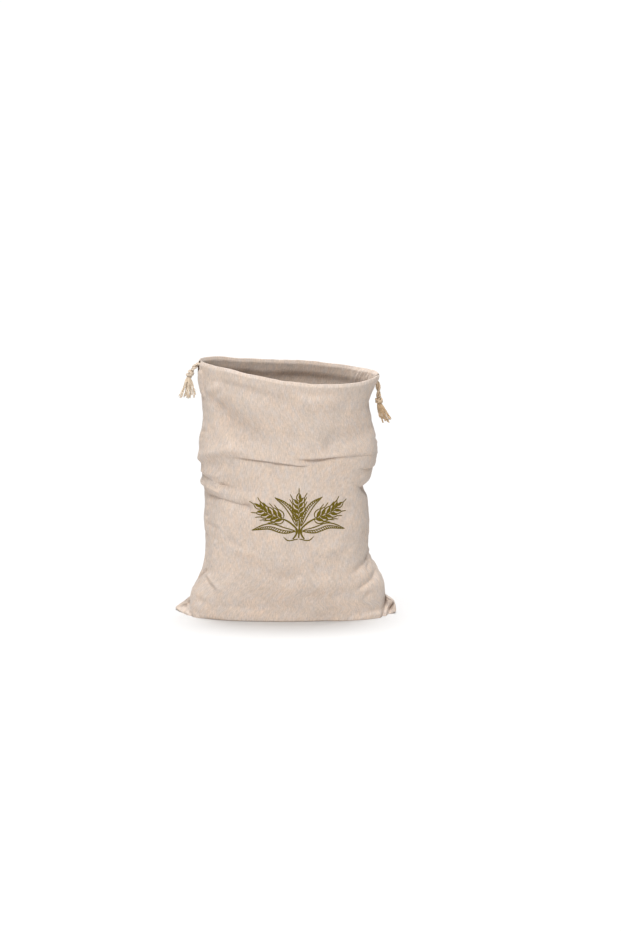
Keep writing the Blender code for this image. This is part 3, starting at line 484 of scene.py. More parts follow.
def folds(angle, z):
    """How far the folds move the cloth out, and how far they let it sag, for every angle and height."""
    shape = np.shape(angle)
    out, sag = np.zeros(shape).ravel(), np.zeros(shape).ravel()
    px_all, pz_all = around(angle).ravel(), np.broadcast_to(z, shape).ravel()
    t = np.linspace(0, 1, 25)
    for row in FOLDS:
        f = dict(zip(FOLD_COLUMNS, row))
        ends = around(np.array([f["a0"], f["a1"], f["a2"]]))
        qx, qz = quadratic(*ends, t), quadratic(f["z0"], f["z1"], f["z2"], t)
        reach = 3.2 * max(f["up"], f["down"])
        for lap in (-GIRTH, 0.0, GIRTH):
            x = px_all + lap
            near = (x > qx.min() - reach) & (x < qx.max() + reach) & (pz_all > qz.min() - reach) & (pz_all < qz.max() + reach)
            if not near.any():
                continue
            best, side, along = near_curve(x[near], pz_all[near], qx, qz)
            far = best * side
            above = 0.5 + 0.5 * np.tanh(far / (1.3 - 0.75 * f["sharp"]))
            s = best / np.where(side > 0, f["up"], f["down"])
            soft, pressed = np.exp(-(s**2)), np.exp(-1.9 * (np.sqrt(s**2 + 0.01) - 0.1))
            body = (1 - f["sharp"]) * soft + f["sharp"] * pressed
            strength = ease(along / f["start"]) * ease((1 - along) / f["end"])
            lapped = 0.62 * soft * above - 0.66 * body * (1 - above)
            out[near] += f["depth"] * strength * (f["lap"] * lapped - (1 - f["lap"]) * body)
            sag[near] += f["drop"] * strength * soft * above
    return out.reshape(shape), sag.reshape(shape)


WAVES = [
    # how many times round the bag, waves per metre up it, phase, height
    (4, 5.0, 0.3, 0.50), (5, 8.0, 1.9, 0.45), (8, 11.0, 4.4, 0.42), (9, 16.0, 2.7, 0.34),
    (13, 13.0, 5.1, 0.28), (14, 24.0, 0.9, 0.20), (21, 21.0, 3.3, 0.15), (23, 38.0, 2.2, 0.10),
    (34, 31.0, 1.1, 0.080), (37, 57.0, 4.9, 0.060), (55, 52.0, 0.5, 0.045), (64, 83.0, 3.8, 0.035),
]


def unevenness(angle, z):
    """The soft unevenness of slack cloth."""
    a = around(angle) / GIRTH * 2 * math.pi
    total = np.zeros(np.shape(angle))
    for turns, up, phase, height in WAVES:
        side_way = turns * a + phase + 1.1 * np.sin(3 * a + z / 47.0 + 2 * phase)
        total += height * np.sin(side_way) * np.sin(2 * math.pi * up * z / 1000.0 + 1.7 * phase + 0.9 * np.sin(4 * a - z / 71.0 + phase))
    return total


def pucker(z, phase):
    """The small crinkles of a seam, along its height."""
    a = np.sin(z / 2.05 + phase + 0.9 * np.sin(z / 13.0)) + 0.7 * np.sin(z / 1.31 + 2.3 * phase) + 0.8 * np.sin(z / 3.7 - phase)
    return a * (0.55 + 0.45 * np.sin(z / 19.0 + phase))


def ear_swing(x, z):
    """How far both layers of the two corners bend out of the middle plane."""
    low = 1 - ease((z - 12.0) / 30.0)
    out_l, out_r = np.clip(-x - EAR_ROOT, 0, None), np.clip(x - EAR_ROOT, 0, None)
    line_l = np.interp(z, [0.0, 12.0, 22.0], [-123.5, -127.5, -130.5])
    push_l = 4.6 * ease((line_l + 2.0 - x) / 4.0) + 10.4 * np.clip(out_l / 26.0, 0, 1.2) ** 2 - 2.0 * np.exp(-(((x - line_l + 7.5) / 3.2) ** 2))
    bow = ease(out_l / 3.0)
    hollow = np.exp(-(((x - np.interp(z, [0.0, 10.0, 22.0], [128.6, 130.6, 132.6])) / 2.4) ** 2))
    ridge = np.exp(-(((x - np.interp(z, [0.0, 12.0, 22.0], [132.0, 134.6, 137.0])) / 2.1) ** 2))
    pocket = np.exp(-(((x - 140.7 - 0.58 * (z - 9.2)) / 1.8) ** 2)) * np.exp(-(((z - 9.2) / 6.0) ** 2))
    push_r = 4.6 * hollow - 3.6 * ridge + 7.0 * pocket - 3.8 * np.clip(out_r / 26.0, 0, 1.2) ** 2
    return (push_l * bow + push_r * ease(out_r / 3.0)) * low


def ear_creases(x, z):
    total = np.zeros(np.shape(x))
    t = np.linspace(0, 1, 13)
    for row in EAR_FOLDS:
        f = dict(zip(EAR_FOLD_COLUMNS, row))
        best, _, along = near_curve(x, z, quadratic(f["x0"], f["x1"], f["x2"], t), quadratic(f["z0"], f["z1"], f["z2"], t))
        total -= f["depth"] * np.exp(-((best / f["width"]) ** 2))
    return total


# ---------------------------------------------------------------- the casing's section

def casing_mid(s):
    """The middle of the casing, measured out from the wall's face, s below the rim: the cords lie on it."""
    return -3.2 + 2.25 * ease((s - 13) / 12)


def casing_half(s):
    """Half the casing's thickness, outer face to inner face."""
    room = 0.3 + 3.5 * ease((s - 0.4) / 4.4) * ease((23.5 - s) / 9)
    nose = np.sqrt(np.clip(1 - (1 - np.clip(np.asarray(s) / 1.3, 0, 1)) ** 2, 0, 1))
    return (CLOTH + room / 2) * nose


def cad_casing(s):
    """The middle of the CAD casing, where the cords run."""
    bulge = 0.8 * ease(s / 6) * ease((CASING - s) / 22)
    room = CAD_SHUT + (CAD_ROOM - CAD_SHUT) * ease((s + 1.5) / 5.0) * ease((25 - s) / 11)
    return bulge - CAD_CLOTH - room / 2


def relief(wall, share, z, angle, below_rim):
    """What all folds, crinkles and hems together do to the cloth: how far out, and how far down."""
    out, sag = folds(angle, z)
    out = out + unevenness(angle, z)
    tight = ease((21 - below_rim) / 9)          # round the cords the cloth keeps to the casing's own form
    out = cad_folds(angle, z) * tight + out * (1 - tight)
    sag = sag * (1 - tight)
    # hems and seams at the two side edges
    edge = np.minimum(share, 1 - share) * CUT_WIDTH
    left_edge = (share < 0.5) == (wall.which == "front")
    bottom = np.where(left_edge, SLITS[0][1], SLITS[1][1])
    open_here = ease((z - bottom + 3) / 6)
    seam = -1.0 * np.exp(-((edge / 1.4) ** 2)) + 0.35 * np.exp(-(((edge - 3.2) / 1.5) ** 2))
    wrinkle = 0.75 * pucker(z, np.where(left_edge, 0.7, 2.9)) * np.exp(-((edge / 8.5) ** 1.5)) * ease((z - 24) / 14)
    hem = 0.45 * ease((7.5 - edge) / 1.2) + 0.16 * np.sin(z / 2.4) * np.exp(-((edge / 6.0) ** 2))
    hem = hem - 0.55 * np.exp(-(((edge - 5.6) / 1.0) ** 2))
    if wall.which == "front":
        hem = hem + 2.4 * left_edge * ease((10.5 - edge) / 6) * (1 - ease((z - 327) / 6))
    out = out + (seam + wrinkle) * (1 - open_here) + hem * open_here
    # the row of stitches that closes the casing, and the small gathers along it
    row = np.exp(-(((below_rim - 36.5) / 1.3) ** 2))
    run = around(angle)
    out = out - row * (0.16 + 0.10 * np.sin(run / 1.9 + 0.7 * np.sin(run / 11.0)))
    out = out + 0.11 * np.exp(-(((below_rim - 33.0) / 6.0) ** 2)) * np.sin(run / 2.6 + 1.1 * np.sin(run / 17.0))
    return out, sag


def outer_face(wall, share, z, off=0.0, below_rim=None, foot=1.0):
    """Points of the cloth's outer face at those shares and heights, moved out by off."""
    share, z = np.broadcast_arrays(np.asarray(share, float), np.asarray(z, float))
    r, n = wall.read(share, z), wall.out(share, z)
    if below_rim is None:
        below_rim = rim_height(r[..., 2]) - z
    out, sag = relief(wall, share, z, r[..., 2], below_rim)
    p = np.stack([r[..., 0], r[..., 1], z], -1) + n * (out * foot + off)[..., None]
    p[..., 2] -= sag * foot
    return p, n


# ---------------------------------------------------------------- panels

def spread_rows(low, high, count):
    """Heights up the wall, closer together where the cloth is most folded."""
    z = np.linspace(low, high, 900)
    density = 1 + 2.0 * np.exp(-(((z - 219) / 11) ** 2)) + 0.9 * np.exp(-(((z - 186) / 19) ** 2)) + 0.5 * np.exp(-(((z - 60) / 24) ** 2))
    run = np.concatenate([[0], np.cumsum((density[1:] + density[:-1]) / 2)])
    return np.interp(np.linspace(0, run[-1], count), run, z)


COLUMNS = 160
WALL_ROWS = 186
BASE_ROWS = tuple(np.linspace(0, 0.97, 13))
FOOT_ROWS = (0.0, 0.4, 1.0, 1.8, 2.8, 4.0, 5.4, 7.0, 8.8, 10.8, 13.0, 15.4, 18.0, 20.8, 23.8, 26.9)
OUTER_ROWS = (38.6, 37.4, 36.5, 35.6, 34.2, 32.0, 29.5, 27.0, 24.5, 22.0, 19.6, 17.3, 15.2, 13.3, 11.5, 9.8, 8.2, 6.8, 5.5, 4.3, 3.3, 2.4, 1.6, 1.0, 0.55, 0.24, 0.06)
INNER_ROWS = (0.06, 0.24, 0.55, 1.0, 1.6, 2.4, 3.4, 4.6, 6.0, 7.8, 10.0, 12.5, 15.0, 18.0, 21.0, 24.0, 27.0, 30.0, 32.5, 34.5, 35.6, 36.5, 37.4, 38.4, 39.4)


def across_shares(count):
    t = np.linspace(-1, 1, count + 1)
    return 0.5 + 0.5 * (0.55 * t + 0.45 * np.sin(math.pi / 2 * t))


def panel_rows():
    rows = [("base", w) for w in BASE_ROWS]
    rows += [("foot", z) for z in FOOT_ROWS]
    levels = spread_rows(FOOT_TOP, 300.0, WALL_ROWS + 1)
    rows += [("wall", (z - FOOT_TOP) / (300.0 - FOOT_TOP)) for z in levels]
    rows += [("outer", s) for s in OUTER_ROWS]
    rows += [("rim", 0.0)]
    rows += [("inner", s) for s in INNER_ROWS]
    return rows


def panel_outer(wall):
    """The panel's outer face as a grid of points, row by row."""
    share = across_shares(COLUMNS)
    rows = panel_rows()
    foot = wall.read(share, 0.0)
    tip_lift = 1.4 * (1 - ease(np.minimum(share, 1 - share) / 0.03))
    sign = -1.0 if wall.which == "front" else 1.0
    line = share if wall.which == "front" else 1 - share
    seam_x = -145.0 + line * (144.5 + 145.0)
    turn = wall.read(share, 330.0)[:, 2]
    top = rim_line(turn)
    gathered = (1 - np.exp(-((np.sin(around(turn) / 2.9 + 0.9 * np.sin(around(turn) / 7.3)) / 0.55) ** 2))) * ease((turn - 96) / 6) * (1 - ease((turn - 124) / 14))
    levels, offs, depths, feet = [], [], [], []
    for kind, at in rows:
        if kind == "base":
            continue
        if kind == "foot":
            z = at + tip_lift * (1 - min(at / 8.0, 1.0))
            off, foot_share = np.zeros_like(z), ease(z / 20)
        elif kind == "wall":
            z = FOOT_TOP + at * (300.0 - FOOT_TOP) + ease((at - 0.45) / 0.55) * (top - CASING - 300.0)
            off, foot_share = np.zeros_like(z), np.ones_like(z)
        else:
            z = top - at
            half = casing_half(at) if kind != "rim" else 0.0
            off = np.full_like(z, casing_mid(at) + (half if kind == "outer" else -half))
            if kind == "inner":
                off = off - 0.5 * ease((at - 30) / 3)
                off = off - 5.4 * gathered * ease(at / 5) * ease((34 - at) / 10)
            foot_share = np.ones_like(z)
        levels.append(z)
        offs.append(off)
        depths.append(top - z)
        feet.append(foot_share)
    levels, offs, depths, feet = (np.array(v) for v in (levels, offs, depths, feet))
    grid_share = np.broadcast_to(share, levels.shape)
    p, _ = outer_face(wall, grid_share, levels, offs, depths, feet)
    p[..., 1] += sign * foot_flare(p[..., 0], p[..., 2])
    foot[:, 1] += sign * foot_flare(foot[:, 0], 0.0)
    # the first rows lie flat under the bag, from the seam out to the foot's edge
    edge = np.stack([foot[:, 0], foot[:, 1], tip_lift], -1)
    seam = np.stack([seam_x, np.full_like(seam_x, sign * SEAM_GAP / 2), np.zeros_like(seam_x)], -1)
    base = []
    for kind, at in rows:
        if kind == "base":
            q = seam + (edge - seam) * at
            q[:, 2] = tip_lift * at
            base.append(q)
    p[0] = edge
    grid = np.concatenate([np.array(base), p])
    return grid, rows, share


def foot_flare(x, z):
    """How far the turned edge along the foot stands out from the wall, to the front or the back."""
    up = np.clip(z, 0, None)
    high = 3.6 * np.exp(-((up / 18.0) ** 1.7)) + 1.3 * np.exp(-((up / 2.4) ** 2)) - 0.9 * np.exp(-up / 0.5)
    wavy = np.interp(x, [-125, -60, -7, 25, 53, 75, 100, 112, 125], [0.0, 0.4, 2.2, 0.9, -1.8, 0.8, 0.2, -0.8, 0.0])
    return (high + wavy * np.exp(-((z / 12.0) ** 2))) * (1 - ease((np.abs(x - 1.0) - 66.0) / 44.0))


def grid_normals(grid):
    up = np.gradient(grid, axis=0)
    across = np.gradient(grid, axis=1)
    n = np.cross(across, up)
    return n / np.maximum(np.linalg.norm(n, axis=-1, keepdims=True), 1e-9)


def new_mesh(name, points, faces, materials, uvs=None, indices=None, smooth=True):
    """A mesh object in metres from points in the tables' millimetres."""
    mesh = bpy.data.meshes.new(name)
    shifted = (np.asarray(points, float) - np.array([MIDDLE[0], MIDDLE[1], 0.0])) * MM
    mesh.from_pydata(shifted.tolist(), [], faces if isinstance(faces, list) else faces.tolist())
    for layer, values in (uvs or {}).items():
        uv = mesh.uv_layers.new(name=layer)
        loops = np.zeros(len(mesh.loops), np.int32)
        mesh.loops.foreach_get("vertex_index", loops)
        uv.data.foreach_set("uv", np.asarray(values, np.float32)[loops].ravel())
    for m in materials:
        mesh.materials.append(m)
    if indices is not None:
        mesh.polygons.foreach_set("material_index", np.asarray(indices, np.int32))
    mesh.polygons.foreach_set("use_smooth", np.full(len(mesh.polygons), smooth))
    mesh.update()
    obj = bpy.data.objects.new(name, mesh)
    bpy.context.scene.collection.objects.link(obj)
    return obj


def panel(which, wall, mat):
    outer, rows, share = panel_outer(wall)
    n = grid_normals(outer)
    nb = len(BASE_ROWS)
    n[0, :, 1] = 0.0
    for col, end in ((0, 0), (-1, 1)):
        ways = np.array([wall.seam_way(end, z) for z in outer[:, col, 2]])
        n[:, col] -= ways * (n[:, col] * ways).sum(1)[:, None]
    n /= np.maximum(np.linalg.norm(n, axis=-1, keepdims=True), 1e-9)
    from_tip = np.minimum(outer[..., 0] + 148.0, 148.0 - outer[..., 0])
    thick = EAR_CLOTH + (CLOTH - EAR_CLOTH) * np.maximum(ease(from_tip / 30), ease((outer[..., 2] - 20) / 20))
    turned = np.array([[ease((at - 30) / 3) if kind == "inner" else 0.0] for kind, at in rows])
    thick = thick + 0.55 * turned
    # the ears' creases press the two layers together and stay clear of the middle plane
    swing_free = outer.copy()
    on_ear = ease((np.abs(outer[..., 0]) - 118.0) / 6.0) * (1 - ease((outer[..., 2] - 20) / 8))
    sign = -1.0 if which == "front" else 1.0
    crease = ear_creases(outer[..., 0], outer[..., 2]) * on_ear
    room = np.maximum(np.abs(outer[..., 1]) - 1.25, 0.0)
    crease = np.clip(crease, -room, 1.6)
    outer[..., 1] += np.where(np.arange(len(rows))[:, None] >= nb, sign * crease, 0.0)
    inner = outer - n * thick[..., None]
    level = n[nb + 1, :, :2] / np.linalg.norm(n[nb + 1, :, :2], axis=-1, keepdims=True)
    inner[:nb, 1:-1, :2] = outer[:nb, 1:-1, :2]
    inner[: nb + 1, 1:-1, 2] = outer[: nb + 1, 1:-1, 2] + thick[: nb + 1, 1:-1]
    inner[nb, 1:-1, :2] = outer[nb, 1:-1, :2] - level[1:-1] * thick[nb, 1:-1, None]
    for col in (0, -1):
        inward = -np.sign(outer[0, col, 0])
        for j in range(nb + 1):
            w = j / nb
            inner[j, col] = (outer[j, col, 0] + inward * (0.15 + 0.6 * w), outer[j, col, 1], EAR_CLOTH + 0.6 * w)
    inner[..., 2] = np.maximum(inner[..., 2], 0.05)
    for grid in (outer, inner):
        grid[..., 1] += ear_swing(grid[..., 0], grid[..., 2])
    # cloth coordinates, in metres: across the cut width, and up from the bottom seam over the rim
    nrow, ncol = outer.shape[:2]
    up = np.concatenate([[0], np.cumsum(np.linalg.norm(np.diff(outer[:, ncol // 4 : -ncol // 4], axis=0), axis=-1).mean(1))])
    shift = 0.0 if which == "front" else 0.45
    cu = np.broadcast_to(share * CUT_WIDTH * MM + shift, (nrow, ncol))
    cv = np.broadcast_to((up * MM)[:, None], (nrow, ncol))
    cloth_uv = np.stack([cu, cv], -1).reshape(-1, 2)
    bu = np.broadcast_to(share, (nrow, ncol))
    bv = np.broadcast_to((up / up[-1])[:, None], (nrow, ncol))
    bake_out = np.stack([0.01 + 0.48 * bu, 0.01 + 0.98 * bv], -1).reshape(-1, 2)
    bake_in = np.stack([0.51 + 0.48 * bu, 0.01 + 0.98 * bv], -1).reshape(-1, 2)
    points = np.concatenate([outer.reshape(-1, 3), inner.reshape(-1, 3)])
    j, i = np.meshgrid(np.arange(nrow - 1), np.arange(ncol - 1), indexing="ij")
    a = (j * ncol + i).ravel()
    quads = np.stack([a, a + 1, a + ncol + 1, a + ncol], -1)
    count = nrow * ncol
    edge = list(range(ncol))
    edge += [r * ncol + ncol - 1 for r in range(1, nrow)]
    edge += [(nrow - 1) * ncol + c for c in range(ncol - 2, -1, -1)]
    edge += [r * ncol for r in range(nrow - 2, 0, -1)]
    edge = np.array(edge)
    nxt = np.roll(edge, -1)
    sides = np.stack([edge, edge + count, nxt + count, nxt], -1)
    faces = np.concatenate([quads, quads[:, ::-1] + count, sides])
    rim_at = [kind for kind, _ in rows].index("rim")
    from_rim = np.abs(up - up[rim_at]) * MM
    from_edge = np.minimum(share, 1 - share) * CUT_WIDTH * MM
    # the distances from the rim and from the side edges, along which the cloth's colour is made paler: wear together
    # with a painted highlight
    wear = np.stack([np.broadcast_to(from_rim[:, None], (nrow, ncol)), np.broadcast_to(from_edge, (nrow, ncol))], -1).reshape(-1, 2)
    uvs = {"cloth": np.concatenate([cloth_uv, cloth_uv + 0.003]), "wear": np.concatenate([wear, wear]), "OFBake": np.concatenate([bake_out, bake_in])}
    return new_mesh(which + "_panel_cloth", points, faces, [mat], uvs)


# ---------------------------------------------------------------- tubes

def even(points, step, tight=0.25):
    """The points again, evenly spaced on a smooth curve through them."""
    p = np.array(points, float)
    along = np.concatenate([[0], np.cumsum(np.linalg.norm(np.diff(p, axis=0), axis=1))])
    fine = np.linspace(0, along[-1], int(along[-1] / tight))
    curve = np.stack([through(fine, along, p[:, k]) for k in range(3)], -1)
    run = np.concatenate([[0], np.cumsum(np.linalg.norm(np.diff(curve, axis=0), axis=1))])
    marks = np.linspace(0, run[-1], max(2, int(round(run[-1] / step)) + 1))
    return np.stack([np.interp(marks, run, curve[:, k]) for k in range(3)], -1)


def frames(line):
    """Tangents and two steady normals along a line."""
    t = np.gradient(line, axis=0)
    t /= np.maximum(np.linalg.norm(t, axis=1, keepdims=True), 1e-9)
    n = np.zeros_like(t)
    first = np.array([0.0, 0.0, 1.0]) if abs(t[0, 2]) < 0.8 else np.array([1.0, 0.0, 0.0])
    v = first - t[0] * (first @ t[0])
    n[0] = v / np.linalg.norm(v)
    for i in range(1, len(t)):
        v = n[i - 1] - t[i] * (n[i - 1] @ t[i])
        n[i] = v / max(np.linalg.norm(v), 1e-9)
    return t, n, np.cross(t, n)


class Heap:
    """Points, faces and two coordinates gathered from many small shapes into one mesh."""

    def __init__(self):
        self.points, self.faces, self.uv, self.count = [], [], [], 0

    def add(self, points, faces, uv):
        self.points.append(points)
        self.faces += [tuple(int(i) + self.count for i in f) for f in faces]
        self.uv.append(uv)
        self.count += len(points)

    def tube(self, line, radius, sides, n=None, b=None, phase=0.0, start=0.0):
        line = np.asarray(line, float)
        if n is None:
            _, n, b = frames(line)
        radius = np.broadcast_to(np.asarray(radius, float), len(line))
        a = phase + np.linspace(0, 2 * math.pi, sides, endpoint=False)
        ring = n[:, None] * np.cos(a)[None, :, None] + b[:, None] * np.sin(a)[None, :, None]
        p = line[:, None] + ring * radius[:, None, None]
        m = len(line)
        j, i = np.meshgrid(np.arange(m - 1), np.arange(sides), indexing="ij")
        k = (i + 1) % sides
        quads = np.stack([j * sides + i, j * sides + k, (j + 1) * sides + k, (j + 1) * sides + i], -1).reshape(-1, 4)
        faces = [tuple(q) for q in quads]
        faces.append(tuple(range(sides - 1, -1, -1)))
        faces.append(tuple(range((m - 1) * sides, m * sides)))
        run = np.concatenate([[0], np.cumsum(np.linalg.norm(np.diff(line, axis=0), axis=1))]) + start
        u = np.broadcast_to(np.linspace(0, 1, sides, endpoint=False), (m, sides)) * 0.008
        v = np.broadcast_to(run[:, None] * MM, (m, sides))
        self.add(p.reshape(-1, 3), faces, np.stack([u, v], -1).reshape(-1, 2))

    def capsule(self, a, b, radius, out, sides=6):
        """A short stitch from a to b, bedded into the cloth at its ends."""
        t = np.array([0.0, 0.12, 0.35, 0.65, 0.88, 1.0])
        sink = np.array([0.75, 0.25, 0.0, 0.0, 0.25, 0.75])
        line = a + (b - a) * t[:, None] - out * (sink * radius)[:, None]
        self.tube(line, radius * np.array([0.45, 0.85, 1.0, 1.0, 0.85, 0.45]), sides)

    def make(self, name, mat):
        uv = np.concatenate(self.uv)
        return new_mesh(name, np.concatenate(self.points), self.faces, [mat], {"cloth": uv})


def rope(heap, line, diameter=CORD * 1.12, pitch=9.0, sides=8, spin=0.0):
    """A laid cord of three plies along a line."""
    t, n, b = frames(line)
    run = np.concatenate([[0], np.cumsum(np.linalg.norm(np.diff(line, axis=0), axis=1))])
    away, thick = diameter * 0.262, diameter * 0.243
    for ply in range(3):
        a = 2 * math.pi * (run / pitch + ply / 3) + spin
        radial = n * np.cos(a)[:, None] + b * np.sin(a)[:, None]
        centre = line + radial * away
        tp = np.gradient(centre, axis=0)
        tp /= np.linalg.norm(tp, axis=1, keepdims=True)
        side = radial - tp * (radial * tp).sum(1)[:, None]
        side /= np.linalg.norm(side, axis=1, keepdims=True)
        heap.tube(centre, thick * (1 + 0.05 * np.sin(run / 3.1 + ply)), sides, side, np.cross(tp, side), start=ply * 40.0)


# ---------------------------------------------------------------- cords

def in_casing(wall, shares, depth):
    """Points down the middle of a casing, that far below its rim."""
    z = rim_height(wall.read(shares, 330.0)[:, 2]) - depth
    r, n = wall.read(shares, z), wall.out(shares, z)
    off = cad_casing(depth) + cad_folds(r[:, 2], z)
    return np.stack([r[:, 0], r[:, 1], z], -1) + n * off[:, None]


def knot_frame(side):
    k = dict(zip(KNOT_COLUMNS, next(r for r in KNOTS if r[0] == side)))
    lean = math.radians(k["lean"])
    centre = np.array([k["x"], k["y"], k["z"]])
    up = np.array([math.sin(lean), 0.0, math.cos(lean)])
    return k, centre, up


def pair_points(side, gather, spread_way):
    """The two cord ends side by side from a slit down to their knot, the front one and the back one, knot first."""
    k, centre, up = knot_frame(side)
    top = centre + up * (k["half_height"] + 0.5)
    axis = even([top, top + up * 3.0, (top + up * 3.0) * 0.45 + gather * 0.55, gather], 2.6)
    front, back = [], []
    for j, p in enumerate(axis):
        t = j / (len(axis) - 1)
        turn = math.pi * PAIR_TURNS[side] * (1 - t)
        across = np.cross(spread_way, up)
        way = math.cos(turn) * spread_way + math.sin(turn) * across / np.linalg.norm(across)
        front.append(p - way * PAIR_APART / 2)
        back.append(p + way * PAIR_APART / 2)
    front[1] = front[0] + up * 2.6
    back[1] = back[0] + up * 2.6
    return front, back


def cord_route(side, front, back, shares):
    """The whole way of one cord: knot, front casing, round the far slit, back casing, and back to the knot. And the places where its ends leave the slit."""
    depth = CORD_DEPTHS[0 if side == "left" else 1]
    by_front = in_casing(front, shares, depth)
    by_back = in_casing(back, shares, depth)
    far_front, far_back = in_casing(front, np.array([0.997, 0.003]), depth), in_casing(back, np.array([0.003, 0.997]), depth)
    if side == "right":
        by_front, by_back = by_front[::-1], by_back[::-1]
        far_front, far_back = far_front[::-1], far_back[::-1]
    near_front, near_back = far_front[1], far_back[1]
    gap = near_back - near_front
    spread_way = gap * np.array([1, 1, 0]) / np.linalg.norm(gap * np.array([1, 1, 0]))
    outward = np.array([spread_way[1], -spread_way[0], 0.0])
    if outward @ np.array([1.0 if side == "right" else -1.0, 0, 0]) < 0:
        outward = -outward
    dx, dz = PAIR_START[side]
    gather = (near_front + near_back) / 2 + outward * dx + np.array([0, 0, dz])
    a, b = pair_points(side, gather, spread_way)
    turn_out = outward * dx * 0.12 + np.array([0, 0, dz * 0.12])
    step = spread_way * 2.4
    lead = lambda end, way, first: [first * 0.5 + (end + way) * 0.5 + turn_out * 0.6, end + way + turn_out, end]
    to_front = lead(near_front, step, a[-1])
    to_back = lead(near_back, -step, b[-1])
    route = a + to_front + list(by_front) + [far_front[0], far_back[0]] + list(by_back) + to_back[::-1] + b[::-1]
    return np.array(route), gather


def cord_piece(side, front, back, mat):
    shares = across_shares(CAD_COLUMNS)[1:-1]
    route, gather = cord_route(side, front, back, shares)
    line = even(route, 0.85)
    heap = Heap()
    rope(heap, line, sides=8)
    obj = heap.make("cord_" + side + "_rope", mat)
    path = (even(route, 2.4) - np.array([*MIDDLE, 0.0])) * MM
    length = float(np.linalg.norm(np.diff(path, axis=0), axis=1).sum())
    return obj, path.tolist(), length, ((gather - np.array([*MIDDLE, 0.0])) * MM).tolist()


def knot_piece(side, mat):
    """A tight overhand knot: the doubled cord laid round itself, with a band drawn across the front."""
    k, centre, up = knot_frame(side)
    right = np.array([up[2], 0.0, -up[0]])
    deep = np.array([0.0, 1.0, 0.0])
    heap = Heap()
    thin = 2.9
    wide, through_, high = k["across"] - thin * 0.52, k["through"] - thin * 0.52, k["half_height"] - thin * 0.50
    # two and a half turns round the axis, climbing; both ends tuck in towards the axis
    a = np.linspace(-0.5 * math.pi, 3.9 * math.pi, 120)
    t = np.linspace(0, 1, 120)
    rise = high * (-0.86 + 1.72 * ease(t)) + 1.0 * np.sin(a + 0.6)
    tuck = 1 - 0.72 * (1 - ease(t / 0.14)) - 0.72 * (1 - ease((1 - t) / 0.14))
    swell = np.sqrt(np.clip(1 - (0.62 * rise / high) ** 2, 0.2, 1))
    line = centre + up * np.clip(rise, -high, high)[:, None] + right * (wide * swell * tuck * np.cos(a))[:, None] + deep * (through_ * swell * tuck * np.sin(a))[:, None]
    rope(heap, even(line, 0.6), thin, 7.5, 8)
    # the band across the front, over the turns, from the bottom on one side to the top on the other
    s = np.linspace(-1, 1, 60)
    lean = 1.0 if side == "left" else -1.0
    reach = wide * 0.92 * np.sin(s * 1.25) / math.sin(1.25)
    front = through_ + 0.55
    line = centre + right * (lean * reach)[:, None] + up * (high * 0.92 * s)[:, None] - deep * (front * np.cos(s * 1.35) - 0.6)[:, None]
    rope(heap, even(line, 0.6), thin, 7.5, 8, spin=1.0)
    line = centre - right * (lean * reach * 0.9)[:, None] + up * (high * 0.9 * s)[:, None] + deep * (front * np.cos(s * 1.35) - 0.6)[:, None]
    rope(heap, even(line, 0.6), thin, 7.5, 8, spin=2.0)
    # the two cord ends where they go in at the top and come out at the bottom
    for way in (-1.0, 1.0):
        ends = [centre + up * (k["half_height"] + 0.4) + deep * 0.0 + right * way * 1.45, centre + up * high * 0.4 + right * way * 0.9, centre - up * high * 0.4 + right * way * 0.9, centre - up * (k["half_height"] + 0.6) + right * way * 0.8]
        rope(heap, even(ends, 0.8), thin, 9.0, 7, spin=way)
    return heap.make("knot_" + side + "_tied", mat)


